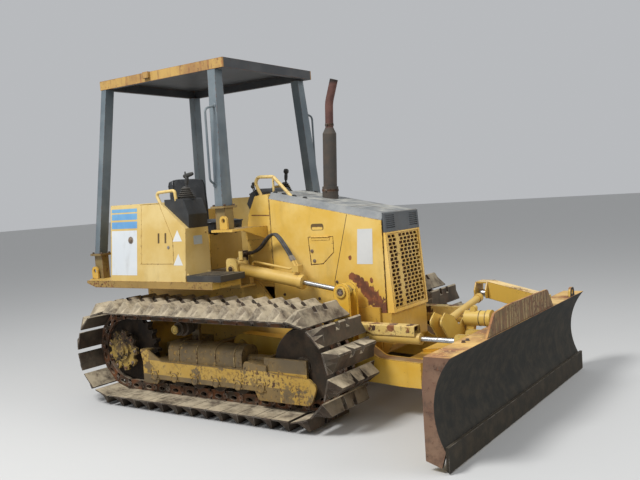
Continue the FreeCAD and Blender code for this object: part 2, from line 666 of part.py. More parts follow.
def push_frame():
    """U shaped frame: two arms with pivot eyes and ears, a cross beam and the kingpin nose."""
    pieces = []
    for name, s in SIDES:
        arm = prism([(FRAME_PIVOT_X, FRAME_PIVOT_Z + 92), (FRAME_PIVOT_X, FRAME_PIVOT_Z - 92),
                     (FRAME_PIVOT_X + 300, 300), (BEAM_REAR_X, BEAM_LOW_Z), (BEAM_FRONT_X, BEAM_LOW_Z),
                     (BEAM_FRONT_X, BEAM_TOP_Z), (2230, BEAM_TOP_Z + 14, 90), (2120, 500, 60), (1400, 520, 60)],
                    "y", min(s * ARM_IN, s * ARM_OUT), ARM_OUT - ARM_IN)
        eye = rod(V(FRAME_PIVOT_X, s * ARM_IN, FRAME_PIVOT_Z), V(FRAME_PIVOT_X, s * ARM_OUT, FRAME_PIVOT_Z), 92)
        body = fuse([arm, eye])
        bore = rod(V(FRAME_PIVOT_X, s * ARM_IN, FRAME_PIVOT_Z), V(FRAME_PIVOT_X, s * ARM_OUT, FRAME_PIVOT_Z),
                   FRAME_PIN_R + PIN_CLEAR)
        pieces.append(body.cut(bore))
        for a, b in ((ARM_IN, ARM_IN + EAR_T), (ARM_OUT - EAR_T, ARM_OUT)):
            ear = prism([(1700, 490), (EAR_X + EAR_R - 1, 490), (EAR_X + EAR_R, EAR_Z + EAR_R, EAR_R - 2),
                         (EAR_X - EAR_R, EAR_Z + EAR_R, EAR_R - 2), (EAR_X - EAR_R, EAR_Z - 60, 40)],
                        "y", min(s * a, s * b), b - a)
            pieces.append(ear)
        pieces.append(rod(V(EAR_X, s * (ARM_OUT - 4), EAR_Z), V(EAR_X, s * (ARM_OUT + 10), EAR_Z), 44))
        # lugs for the angle cylinder
        for z in (ANGLE_Z - 64, ANGLE_Z + 44):
            near = s * (ANGLE_Y - ANGLE_LUG_R)
            far = s * (ANGLE_Y + ANGLE_LUG_R)
            tip = ANGLE_PIN_X + ANGLE_LUG_R
            pieces.append(prism([(ANGLE_PIN_X - 70, near), (tip, near, ANGLE_LUG_R - 0.1),
                                 (tip, far, ANGLE_LUG_R - 0.1), (ANGLE_PIN_X - 70, far)], "z", z, 20))
        pieces.append(block(ANGLE_PIN_X - 90, ANGLE_PIN_X - 60, s * ARM_IN, s * (ARM_OUT - 4), 490, ANGLE_Z + 64))
        pieces.append(rod(V(ANGLE_PIN_X, s * ANGLE_Y, ANGLE_Z - 60),
                          V(ANGLE_PIN_X, s * ANGLE_Y, ANGLE_Z + 72), 22))
    pieces.append(prism([(BEAM_REAR_X, BEAM_LOW_Z), (BEAM_FRONT_X, BEAM_LOW_Z), (BEAM_FRONT_X, BEAM_TOP_Z),
                         (BEAM_REAR_X, BEAM_TOP_Z + 7)], "y", -ARM_OUT, 2 * ARM_OUT))
    for z in (KING_Z0 - FORK_T - 5, KING_Z1 + 5):
        pieces.append(prism([(BEAM_REAR_X + 10, -190), (KING_X, -KING_HOUSING_R, 20), (KING_X + KING_HOUSING_R, -KING_HOUSING_R, 60),
                             (KING_X + KING_HOUSING_R, KING_HOUSING_R, 60), (KING_X, KING_HOUSING_R, 20),
                             (BEAM_REAR_X + 10, 190)], "z", z, FORK_T))
    frame = fuse(pieces)
    # hollow in the beam for the kingpin housing, then the kingpin itself
    room = rod(V(KING_X, 0, KING_Z0 - 5), V(KING_X, 0, KING_Z1 + 5), KING_HOUSING_R + 8)
    frame = frame.cut(room)
    pin = rod(V(KING_X, 0, KING_Z0 - FORK_T - 5), V(KING_X, 0, KING_Z1 + FORK_T + 5), KING_R)
    return fuse([frame, pin])


def blade_yoke():
    """Swivel on the kingpin with its tower, the two forward bosses and the tilt cylinder clevis."""
    housing = rod(V(KING_X, 0, KING_Z0), V(KING_X, 0, KING_Z1), KING_HOUSING_R)
    web_t = 44.0
    web = prism([(KING_X, KING_Z0 + 10), (BOSS_X1 - 40, KING_Z0 + 10), (BOSS_X1 - 40, 430, 40), (2760, 520, 60),
                 (2790, 748, 20), (2752, 748, 20), (2698, 560, 60), (KING_X + 98, KING_Z1 + 60)],
                "y", -web_t / 2, web_t)
    # the web passes in front of the fork of the push frame
    room = rod(V(KING_X, 0, KING_Z1 + 0.5), V(KING_X, 0, KING_Z1 + FORK_T + 60), KING_HOUSING_R + 14)
    web = web.cut(room)
    low = rod(V(KING_X + 60, 0, TILT_Z), V(BOSS_X1, 0, TILT_Z), LOW_BOSS_R)
    pin = rod(V(BOSS_X1 - 20, 0, TILT_Z), V(BLADE_REAR_X + 44, 0, TILT_Z), 34)
    top = rod(V(2700, 0, TOP_BOSS_Z), V(BOSS_X1, 0, TOP_BOSS_Z), TOP_BOSS_R)
    boot = rod(V(BOSS_X1, 0, TOP_BOSS_Z), V(BOOT_X1, 0, TOP_BOSS_Z), BOOT_R)
    pieces = [housing, web, low, pin, top, boot]
    for x in (TILT_X - 46, TILT_X + 34):
        pieces.append(prism([(30, 520), (30, 700, 20), (-110, 618, 30), (-200, 700, 24), (-330, 748, 8),
                             (-420, 690, 30), (-300, 560, 60), (-60, 520)], "x", x, 12))
    pieces.append(block(TILT_X - 46, TILT_X + 50, -200, 30, 520, 532))
    pieces.append(rod(V(TILT_X - 40, TILT_BASE_Y, TILT_BASE_Z), V(TILT_X + 40, TILT_BASE_Y, TILT_BASE_Z), 16))
    yoke = fuse(pieces)
    return yoke.cut(rod(V(KING_X, 0, KING_Z0 - 1), V(KING_X, 0, KING_Z1 + 1), KING_R + PIN_CLEAR))


def board_front():
    """Ends and middle of the arc of the blade's face."""
    low_front = V(BLADE_EDGE_X, -BLADE_HALF, BLADE_LOW_Z + EDGE_H - 30)
    top_front = V(BLADE_TOP_X, -BLADE_HALF, BLADE_TOP_Z)
    return low_front, (low_front + top_front) * 0.5 - V(BLADE_SAG, 0, 0), top_front


def room_before_board(offset):
    """Space in front of the blade's face, moved back by an offset."""
    low_front, middle, top_front = board_front()
    step = V(200, 0, 0)
    space = Part.Face(Part.Wire([
        Part.Arc(low_front, middle, top_front).toShape(),
        Part.LineSegment(top_front, top_front + step).toShape(),
        Part.LineSegment(top_front + step, low_front + step).toShape(),
        Part.LineSegment(low_front + step, low_front).toShape(),
    ])).extrude(V(0, 2 * BLADE_HALF, 0))
    space.translate(V(-offset, 0, 0))
    return space


def mouldboard():
    """Curved plate with end plates, back beams, ribs, spill plate and lifting lug."""
    low_front, middle, top_front = board_front()
    back = V(-BLADE_T, 0, 0)
    edges = [
        Part.Arc(low_front, middle, top_front).toShape(),
        Part.LineSegment(top_front, top_front + back).toShape(),
        Part.Arc(top_front + back, middle + back, low_front + back).toShape(),
        Part.LineSegment(low_front + back, low_front).toShape(),
    ]
    board = Part.Face(Part.Wire(edges)).extrude(V(0, 2 * BLADE_HALF, 0))
    pieces = [board]
    top_beam = prism([(BLADE_BACK_X + 20, BLADE_TOP_Z - 60), (BLADE_TOP_X - 60, BLADE_TOP_Z - 110), (BLADE_TOP_X - 10, BLADE_TOP_Z),
                      (BLADE_BACK_X + 20, BLADE_TOP_Z)], "y", -BLADE_HALF, 2 * BLADE_HALF)
    low_beam = prism([(BLADE_BACK_X, 120), (BLADE_EDGE_X - 20, 120), (BLADE_EDGE_X - 40, 260), (BLADE_BACK_X, 230)],
                     "y", -BLADE_HALF, 2 * BLADE_HALF)
    cutter = room_before_board(0)
    pieces += [top_beam.cut(cutter), low_beam.cut(cutter)]
    for y in (-BLADE_HALF, BLADE_HALF - END_T):
        end = prism([(BLADE_BACK_X, 60), (BLADE_EDGE_X - 30, 30), (BLADE_EDGE_X, low_front.z), (BLADE_TOP_X, BLADE_TOP_Z),
                     (BLADE_BACK_X + 20, BLADE_TOP_Z), (BLADE_BACK_X, 500)], "y", y, END_T)
        pieces.append(end.cut(cutter))
    for y in (-880, -560, 540, 860):
        rib = prism([(BLADE_BACK_X, 200), (BLADE_EDGE_X, 200), (BLADE_EDGE_X, BLADE_TOP_Z - 20), (BLADE_BACK_X + 20, BLADE_TOP_Z - 20)],
                    "y", y, 20)
        pieces.append(rib.cut(cutter))
    # raised spill plate on the top edge, with the lifting lug beside it
    pieces.append(prism([(-775, BLADE_TOP_Z - 12), (-626, SPILL_TOP_Z - 15, 40), (-359, SPILL_TOP_Z, 60),
                         (431, SPILL_TOP_Z - 11, 60), (560, BLADE_TOP_Z - 12)], "x", BLADE_TOP_X - 26, 16))
    lug = prism([(LUG_Y - 60, BLADE_TOP_Z - 12), (LUG_Y - 44, BLADE_TOP_Z + 72, 36),
                 (LUG_Y + 44, BLADE_TOP_Z + 72, 36), (LUG_Y + 60, BLADE_TOP_Z - 12)], "x", BLADE_TOP_X - 30, 20)
    hole = rod(V(BLADE_TOP_X - 40, LUG_Y, BLADE_TOP_Z + 34), V(BLADE_TOP_X, LUG_Y, BLADE_TOP_Z + 34), LUG_HOLE_R)
    pieces.append(lug.cut(hole))
    return fuse(pieces)


def blade_brackets(board):
    """Brackets on the back of the blade: pivot plate, angle cylinder clevises and tilt rod bracket."""
    cutter = room_before_board(BLADE_T + SEAT)
    pivot = block(BLADE_REAR_X, BLADE_REAR_X + 30, -190, 190, 150, 610)
    pivot = pivot.cut(rod(V(BLADE_REAR_X - 5, 0, TILT_Z), V(BLADE_REAR_X + 40, 0, TILT_Z), 34 + PIN_CLEAR))
    groups = [[pivot] + [block(BLADE_REAR_X, BLADE_EDGE_X, y, y + 24, 150, 610) for y in (-190, 166)]]
    for name, s in SIDES:
        group = []
        for a in (ANGLE_Y - CLEVIS_HALF - CLEVIS_T, ANGLE_Y + CLEVIS_HALF):
            lug = prism([(BLADE_BACK_X + 30, 440), (BLADE_BACK_X + 30, 640), (ANGLE_EYE_X - 40, 640, 30),
                         (ANGLE_EYE_X - 40, 470, 30)], "y", min(s * a, s * (a + CLEVIS_T)), CLEVIS_T)
            group.append(lug)
        wide = CLEVIS_HALF + CLEVIS_T
        group.append(block(BLADE_BACK_X, BLADE_EDGE_X, s * (ANGLE_Y - wide), s * (ANGLE_Y + wide), 440, 610))
        groups.append(group)
    # box bracket for the rod eye of the tilt cylinder
    group = []
    for x in (TILT_X - 52, TILT_X + 40):
        group.append(prism([(TILT_EYE_Y - 90, BRACKET_LOW, 10), (TILT_EYE_Y - 100, 800, 20),
                            (TILT_EYE_Y - 60, BRACKET_TOP, 10), (TILT_EYE_Y + 70, BRACKET_TOP, 10),
                            (TILT_EYE_Y + 70, BRACKET_LOW, 10)], "x", x, 12))
    slope = BLADE_TOP_X - 30
    group.append(prism([(TILT_X - 52, BRACKET_TOP - 12), (TILT_X + 60, BRACKET_TOP - 12), (slope, 742),
                        (slope, 754), (TILT_X + 60, BRACKET_TOP), (TILT_X - 52, BRACKET_TOP)],
                       "y", TILT_EYE_Y - 60, 130))
    for y in (TILT_EYE_Y - 60, TILT_EYE_Y + 54):
        group.append(prism([(TILT_X + 40, BRACKET_LOW), (TILT_X + 40, BRACKET_TOP - 10),
                            (TILT_X + 60, BRACKET_TOP - 10), (slope, 744), (slope, BLADE_TOP_Z - 20),
                            (BLADE_BACK_X + 20, BLADE_TOP_Z - 20)], "y", y, 16))
    groups.append(group)
    return Part.makeCompound([fuse(group).cut(cutter).cut(board) for group in groups])


def cutting_edge():
    """Bolted edge in three lengths with end bits."""
    x0 = BLADE_EDGE_X
    profile = [(x0 + 0.3, BLADE_LOW_Z + EDGE_H), (x0 + 0.3, BLADE_LOW_Z + 14), (x0 + EDGE_T + 0.3, BLADE_LOW_Z), (x0 + EDGE_T + 0.3, BLADE_LOW_Z + EDGE_H)]
    return prism(profile, "y", -BLADE_HALF - 6, 2 * BLADE_HALF + 12)


def hydraulic(base, eye, across, barrel, radius, collar, rod_r, tail, base_pin_r, base_w, eye_r, eye_w):
    """Barrel and rod between two pins: the rod slides in a bore of the barrel."""
    line = eye - base
    u = line * (1 / line.Length)
    half = across * 0.5
    tube = rod(base + u * (base_pin_r + 18), base + u * barrel, radius)
    gland = rod(base + u * (barrel - 46), base + u * barrel, radius + collar)
    foot = rod(base - half * base_w, base + half * base_w, base_pin_r + 22)
    body = fuse([tube, gland, foot])
    body = body.cut(rod(base + u * (base_pin_r + 40), base + u * (barrel + 1), rod_r + SLIP))
    body = body.cut(rod(base - half * (base_w + 2), base + half * (base_w + 2), base_pin_r + PIN_CLEAR))
    bar = rod(base + u * tail, eye - u * (eye_r - 12), rod_r)
    ear = rod(eye - half * eye_w, eye + half * eye_w, eye_r)
    return body, fuse([bar, ear])


def angle_guard(side):
    """Channel bolted over the barrel of the angle cylinder, its sides cut slanting at the rear."""
    y = side * ANGLE_Y
    low = ANGLE_Z + GUARD_LOW
    top = ANGLE_Z + GUARD_TOP
    length = GUARD_X1 - GUARD_X0
    outer = prism([(y - GUARD_HALF, low), (y + GUARD_HALF, low), (y + GUARD_HALF, top, 8),
                   (y - GUARD_HALF, top, 8)], "x", GUARD_X0, length)
    inner = GUARD_HALF - GUARD_WALL
    room = block(GUARD_X0 - 1, GUARD_X1 + 1, y - inner, y + inner, low - 1, top - GUARD_WALL)
    # two cross ribs rest on the barrel
    for x in (GUARD_X0 + 190, GUARD_X1 - 90):
        room = room.cut(block(x, x + 12, y - inner, y + inner, ANGLE_Z + ANGLE_R + SEAT, top))
    slant = prism([(GUARD_X0 - 1, low - 1), (GUARD_X0 + 150, low - 1), (GUARD_X0 + 20, top - 14),
                   (GUARD_X0 - 1, top - 14)], "y", y - GUARD_HALF - 1, 2 * GUARD_HALF + 2)
    return outer.cut(room).cut(slant)


def hood_parts():
    """Side panels, top, dash, mask, grille, cap, engine and radiator."""
    parts = {}
    sides = []
    for name, s in SIDES:
        y0 = s * HOOD_HALF
        y1 = s * (HOOD_HALF - HOOD_T)
        panel = prism([(HOOD_X0 + 2, HOOD_Z0), (HOOD_X1, HOOD_Z0), (HOOD_X1, HOOD_FRONT_Z), (HOOD_X0 + 2, HOOD_REAR_Z)],
                      "y", min(y0, y1), HOOD_T)
        if s < 0:
            panel = panel.cut(prism(HATCH, "y", min(y0, y1) - 1, HOOD_T + 2))
        sides.append(panel)
    parts["hood_sides"] = Part.makeCompound(sides)
    # lid with a hinge leaf and a pin along its top edge
    pin_y = -HOOD_HALF - HINGE_R - SEAT
    x0 = HATCH_LID[0][0] + 30
    x1 = HATCH_LID[1][0] - 30
    leaf = block(x0, x1, -HOOD_HALF - 3, -HOOD_HALF, HINGE_Z - 26, HINGE_Z)
    parts["hood_hatch"] = fuse([prism(HATCH_LID, "y", -HOOD_HALF, HOOD_T), leaf,
                                rod(V(x0, pin_y, HINGE_Z), V(x1, pin_y, HINGE_Z), HINGE_R)])
    ends = []
    for x, z in ((HOOD_X0 + 2, HOOD_REAR_Z + SEAT), (HOOD_X1, HOOD_FRONT_Z + SEAT)):
        crown = [(-HOOD_HALF, z), (HOOD_HALF, z), (HOOD_HALF - 40, z + HOOD_CROWN), (40 - HOOD_HALF, z + HOOD_CROWN)]
        ends.append(outline([(V(x, y, h), 0) for y, h in crown]))
    parts["hood_top"] = Part.makeLoft(ends, True, True)
    slope = (MASK_X_TOP - MASK_X_LOW) / (MASK_Z1 - MASK_Z0)
    shell = prism([(HOOD_X1 + SEAT, MASK_Z0), (MASK_X_LOW, MASK_Z0), (MASK_X_TOP, MASK_Z1), (HOOD_X1 + SEAT, MASK_Z1)],
                  "y", -MASK_HALF, 2 * MASK_HALF)
    window = block(HOOD_X1 - 10, MASK_X_LOW + 20, -MASK_HALF + 26, MASK_HALF - 26, MASK_Z0 + 28, MASK_Z1 - 14)
    parts["grille_mask"] = shell.cut(window)
    low = MASK_Z0 + 28 + SEAT
    high = MASK_Z1 - 14 - SEAT
    cap = prism([(HOOD_X1 + SEAT, MASK_Z1 + SEAT), (MASK_X_TOP, MASK_Z1 + SEAT),
                 (MASK_X_TOP - 8, CAP_Z1 - 6, 4), (HOOD_X1 + SEAT, CAP_Z1)],
                "y", -MASK_HALF, 2 * MASK_HALF)
    for i in range(LOUVRES):
        z = LOUVRE_Z0 + i * LOUVRE_STEP
        for s in (-1, 1):
            cap = cap.cut(block(MASK_X_TOP - LOUVRE_DEEP, MASK_X_TOP + 2, s * LOUVRE_IN, s * LOUVRE_OUT,
                                z, z + LOUVRE_H))
    bars = prism([(MASK_X_LOW - 12 + slope * 28, low), (MASK_X_LOW - 6 + slope * 28, low),
                  (MASK_X_TOP - 6, high), (MASK_X_TOP - 12, high)],
                 "y", -MASK_HALF + 26 + SEAT, 2 * (MASK_HALF - 26 - SEAT))
    # holes in brick pattern: two columns, a plain strip, then five columns
    pitch = (high - low - 2 * GRILLE_EDGE) / GRILLE_ROWS
    holes = []
    for row in range(GRILLE_ROWS):
        z = low + GRILLE_EDGE + (row + 0.5) * pitch
        shift = GRILLE_SHIFT if row % 2 else -GRILLE_SHIFT
        for y in GRILLE_COLUMNS:
            holes.append(block(MASK_X_TOP - 30, MASK_X_LOW, y + shift - GRILLE_W / 2, y + shift + GRILLE_W / 2,
                               z - GRILLE_H / 2, z + GRILLE_H / 2))
    parts["grille_plate"] = bars.cut(Part.makeCompound(holes))
    parts["mask_cap"] = cap
    parts["engine_block"] = block(ENGINE_X0, ENGINE_X1, 71 - HULL_HALF, HULL_HALF - 71, ENGINE_Z0, 1330)
    parts["radiator"] = block(2060, 2180, 24 - HULL_HALF, HULL_HALF - 24, MASK_Z0, 1380)
    return parts


# Middles of the grille's columns of holes: y
GRILLE_COLUMNS = (-206, -146, -38, 23, 84, 145, 206)

# Hatch opening and lid in the right hood side: x and z
HINGE_R = 5.0
HINGE_Z = 1300.0
HATCH = [(1520, 1301), (1760, 1301), (1760, 1178), (1652, 1086), (1536, 1078)]
HATCH_LID = [(1525, 1298), (1755, 1298), (1755, 1180), (1650, 1091), (1541, 1084)]


def dash_parts():
    parts = {}
    cowl = prism([(SHELF_X0, COWL_Z0), (HOOD_X0, COWL_Z0), (HOOD_X0, HOOD_REAR_Z + 40, 10),
                  (COWL_X0 + 50, HOOD_REAR_Z + 30, 20), (COWL_X0 - 30, 1500)],
                 "y", SEAT - HULL_HALF, 2 * (HULL_HALF - SEAT))
    parts["dash_cowl"] = cowl
    parts["dash_panel"] = prism([(COWL_X0 - 110, 1590, 10), (COWL_X0 - 60, 1500), (COWL_X0 + 60, 1600),
                                 (COWL_X0 + 60, HOOD_REAR_Z + 60), (COWL_X0 + 30, 1720, 40),
                                 (COWL_X0 - 60, 1680, 30)], "y", 86 - HULL_HALF, 2 * (HULL_HALF - 86)).cut(cowl)
    return parts


def handrails(parts):
    """Bent grab bars on the dash and hood and beside each console, cut off where they stand."""
    y = 61 - HOOD_HALF
    route = [V(1035, y, HOOD_REAR_Z + 20), V(950, y, 1810), V(1170, y, 1800), V(1350, y, 1620)]
    bars = [fuse([bent_bar(route, 14, 50), rod(V(1165, y, 1798), V(1165, y, HOOD_REAR_Z - 30), 9)])]
    for name, s in SIDES:
        y = s * (TANK_OUT_TOP - 32)
        bars.append(bent_bar([V(410, y, TANK_Z1 - 10), V(360, y, TANK_Z1 + 80), V(580, y, TANK_Z1 + 90),
                              V(590, y, TANK_Z1 + 5)], 13, 26))
    for carrier in ("dash_cowl", "hood_top", "tank_right", "tank_left", "consoles"):
        bars = [bar.cut(parts[carrier]) for bar in bars]
    return Part.makeCompound([max(bar.Solids, key=lambda solid: solid.Volume) for bar in bars])


def exhaust(hood):
    """Muffler on a base clamp with a pipe bent forward at its top, standing on the hood."""
    lean = V(math.sin(STACK_LEAN), 0, math.cos(STACK_LEAN))
    foot = V(STACK_X, STACK_Y, 1553)
    up = lambda z: foot + lean * (z - 1553)
    base = rod(up(1580), up(1690), MUFFLER_R + 10)
    body = rod(up(MUFFLER_Z0), up(MUFFLER_Z1), MUFFLER_R)
    cone = Part.makeCone(MUFFLER_R, PIPE_R, 50, up(MUFFLER_Z1), lean)
    tip = up(PIPE_Z1 - 190)
    pipe = bent_bar([up(MUFFLER_Z1 + 40), tip, tip + V(62, 0, 180)], PIPE_R, 260)
    return fuse([base, body, cone, pipe]).cut(hood)


def tank_side(z):
    """Distance of a tank's slanting side from the middle of the machine at a height."""
    return TANK_OUT - (TANK_OUT - TANK_OUT_TOP) * (z - TANK_Z0) / (TANK_Z1 - TANK_Z0)


def station_parts():
    parts = {}
    fenders = []
    for name, s in SIDES:
        plate = prism([(FENDER_X0, FENDER_Z0 + 36), (FENDER_X0 + 110, FENDER_Z0), (FENDER_X1, FENDER_Z0),
                       (FENDER_X1, DECK_Z), (FENDER_X0, DECK_Z)],
                      "y", min(s * (HULL_HALF + SEAT), s * FENDER_OUT), FENDER_OUT - HULL_HALF - SEAT)
        plate = plate.cut(block(FENDER_NOTCH_X, FENDER_X1 + 1, s * HULL_HALF, s * FENDER_NOTCH_Y,
                                FENDER_Z0 - 1, DECK_Z + 1))
        fenders.append(plate)
    parts["fenders"] = Part.makeCompound(fenders)
    for name, s in SIDES:
        profile = [(TANK_X0, TANK_Z0), (TANK_X1, TANK_Z0), (TANK_X1, TANK_CUT_Z), (TANK_CUT_X, TANK_Z1), (TANK_X0, TANK_Z1)]
        body = prism(profile, "y", min(s * TANK_IN, s * TANK_OUT), TANK_OUT - TANK_IN)
        slope = prism([(s * TANK_OUT, TANK_Z0), (s * TANK_OUT_TOP, TANK_Z1), (s * TANK_OUT_TOP, TANK_Z1 + 10), (s * (TANK_OUT + 80), TANK_Z1 + 10), (s * (TANK_OUT + 80), TANK_Z0)],
                      "x", TANK_X0 - 10, TANK_X1 - TANK_X0 + 20)
        body = body.cut(slope)
        if s < 0:
            # flush door over a locker in the side of the right tank
            inner = body.copy()
            inner.translate(V(0, DOOR_T, 0))
            lid = body.cut(inner).common(prism(DOOR_LID, "y", -TANK_OUT - 20, 120))
            edge = [V(DOOR_LID[0][0], -tank_side(z), z) for z in (DOOR_LID[-1][1] + 6, DOOR_LID[0][1] - 6)]
            parts["tank_door"] = fuse([lid, rod(edge[0], edge[1], HINGE_R)])
            inner.translate(V(0, SEAT, 0))
            body = body.cut(body.cut(inner).common(prism(DOOR, "y", -TANK_OUT - 20, 120)))
            body = body.cut(prism(LOCKER, "y", -TANK_OUT - 20, LOCKER_DEPTH + 20))
        parts["tank_" + name] = body
    floor = block(TANK_X0, SHELF_X0 - SEAT, SEAT - TANK_IN, TANK_IN - SEAT, DECK_Z + SEAT, FLOOR_Z)
    for s in (-1, 1):
        floor = floor.cut(block(FENDER_NOTCH_X + 35, SHELF_X0, s * 350, s * TANK_IN, DECK_Z, FLOOR_Z + SEAT))
    parts["floor_plate"] = floor
    parts["side_steps"] = Part.makeCompound([
        block(TANK_X1 + 3, STEP_X1, s * TANK_IN, s * (FENDER_OUT - 16), DECK_Z + SEAT, STEP_Z)
        for s in (-1, 1)])
    parts["seat_base"] = prism([(SEAT_X0 - 40, FLOOR_Z + SEAT), (SEAT_X1 - 60, FLOOR_Z + SEAT), (SEAT_X1 - 60, CUSHION_Z0 - SEAT), (SEAT_X0 - 40, CUSHION_Z0 - SEAT)], "y", -215, 430)
    parts["seat_cushion"] = prism([(SEAT_X0 + 100, CUSHION_Z0, 20), (SEAT_X1, CUSHION_Z0, 30), (SEAT_X1, CUSHION_Z1, 40), (SEAT_X0 + 100, CUSHION_Z1, 20)], "y", -SEAT_HALF, 2 * SEAT_HALF)
    parts["seat_back"] = prism([(SEAT_X0 + 20, CUSHION_Z0, 20), (SEAT_X0 + 96, CUSHION_Z0, 20), (SEAT_X0 + 70, BACK_Z1, 40), (SEAT_X0 - 50, BACK_Z1, 40)], "y", -SEAT_HALF, 2 * SEAT_HALF)
    consoles = []
    rise = (TANK_Z1 - TANK_CUT_Z) / (TANK_X1 - TANK_CUT_X)
    for name, s in SIDES:
        rear = TANK_CUT_X + 30
        consoles.append(prism([(rear, TANK_Z1 - 30 * rise + 0.4), (TANK_X1, TANK_CUT_Z + 0.4),
                               (TANK_X1 + 6, TANK_CUT_Z + 110, 20), (TANK_X1 - 40, TANK_Z1 + 20, 20),
                               (rear, TANK_Z1 + 20)],
                              "y", min(s * (TANK_IN + 4), s * (TANK_OUT_TOP - 20)), TANK_OUT_TOP - 24 - TANK_IN))
    parts["consoles"] = Part.makeCompound(consoles)
    levers = []
    for name, s in SIDES:
        x = TANK_X1 - 110
        y = s * (TANK_IN + 110)
        z = TANK_Z1 + 20 + SEAT
        boot = Part.makeCone(70, 34, 90, V(x, y, z))
        stick = bent_bar([V(x, y, z + 80), V(x, y, z + 150), V(x + 20, y, z + 210)], 14, 60)
        levers.append(fuse([boot, stick]))
    parts["control_levers"] = Part.makeCompound(levers)
    parts["rear_panel"] = block(TANK_X0, TANK_X0 + 30, SEAT - TANK_IN, TANK_IN - SEAT, FLOOR_Z + SEAT, 1560)
    return parts


# Door opening, door and locker behind it in the right tank: x and z
DOOR = [(208, 1642), (427, 1642), (580, 1351), (593, 1148), (208, 1148)]
DOOR_LID = [(215, 1637), (422, 1637), (575, 1350), (588, 1153), (215, 1153)]
LOCKER = [(233, 1618), (404, 1618), (548, 1345), (560, 1172), (233, 1172)]
LOCKER_DEPTH = 160.0


def canopy_parts():
    parts = {}
    roof = block(ROOF_X0, ROOF_X1, -ROOF_HALF, ROOF_HALF, ROOF_Z1 - 8, ROOF_Z1)
    pieces = [roof]
    for s in (-1, 1):
        pieces.append(block(ROOF_X0, ROOF_X1, s * ROOF_HALF, s * (ROOF_HALF - 40), ROOF_Z0 + SEAT, ROOF_Z1))
    for x0, x1 in ((ROOF_X0, ROOF_X0 + 40), (ROOF_X1 - 40, ROOF_X1)):
        pieces.append(block(x0, x1, -ROOF_HALF, ROOF_HALF, ROOF_Z0 + SEAT, ROOF_Z1))
    # small box on the right rim
    pieces.append(block(ROOF_BOX_X - 32, ROOF_BOX_X + 32, -ROOF_HALF - ROOF_BOX_OUT, -ROOF_HALF + 5,
                        ROOF_Z1 - 52, ROOF_Z1))
    parts["canopy_roof"] = fuse(pieces)
    posts = []
    feet = []
    # columns: x at the roof, x and z at the foot, depth, width at the roof, width at the foot
    table = ((ROOF_X0 + 40, ROOF_X0 - 80, 1230, 62, 90, 92), (ROOF_X1 - 130, ROOF_X1 - 70, 1590, 78, 86, 120))
    for name, s in SIDES:
        for x_top, x_foot, z_foot, depth, w_top, w_foot in table:
            spread = (ROOF_Z0 - z_foot) * math.tan(math.radians(POST_LEAN))
            wires = []
            for x, out, w, z in ((x_foot, POST_OUT + spread, w_foot, z_foot), (x_top, POST_OUT, w_top, ROOF_Z0)):
                corners = [(x - depth / 2, out - w), (x + depth / 2, out - w), (x + depth / 2, out), (x - depth / 2, out)]
                wires.append(outline([(V(a, s * b, z), 0) for a, b in corners]))
            posts.append(Part.makeLoft(wires, True, True))
            base_z = SHELF_Z + SEAT if x_foot > 0 else DECK_Z + SEAT
            out = POST_OUT + spread
            plate = block(x_foot - 70, x_foot + 70, s * (out - w_foot - 20), s * (out + 20), z_foot - 18, z_foot - SEAT)
            stem = block(x_foot - 50, x_foot + 50, s * (out - w_foot + 10), s * (out - 10), base_z, z_foot - 10)
            feet.append(fuse([plate, stem]))
    # grab rail on the outer face of each front post
    slope = math.tan(math.radians(POST_LEAN))
    for name, s in SIDES:
        x = ROOF_X1 - 105
        skin = [POST_OUT + (ROOF_Z0 - z) * slope for z in (GRAB_Z1, GRAB_Z0)]
        route = [V(x, s * (skin[0] - 12), GRAB_Z1), V(x, s * GRAB_Y, GRAB_Z1 - 30),
                 V(x, s * GRAB_Y, GRAB_Z0 + 30), V(x, s * (skin[1] - 12), GRAB_Z0)]
        index = len(posts) // 2 * (0 if s < 0 else 1) + 1
        posts[index] = fuse([posts[index], bent_bar(route, GRAB_R, 40)])
    parts["canopy_posts"] = Part.makeCompound(posts)
    parts["post_feet"] = Part.makeCompound(feet)
    return parts


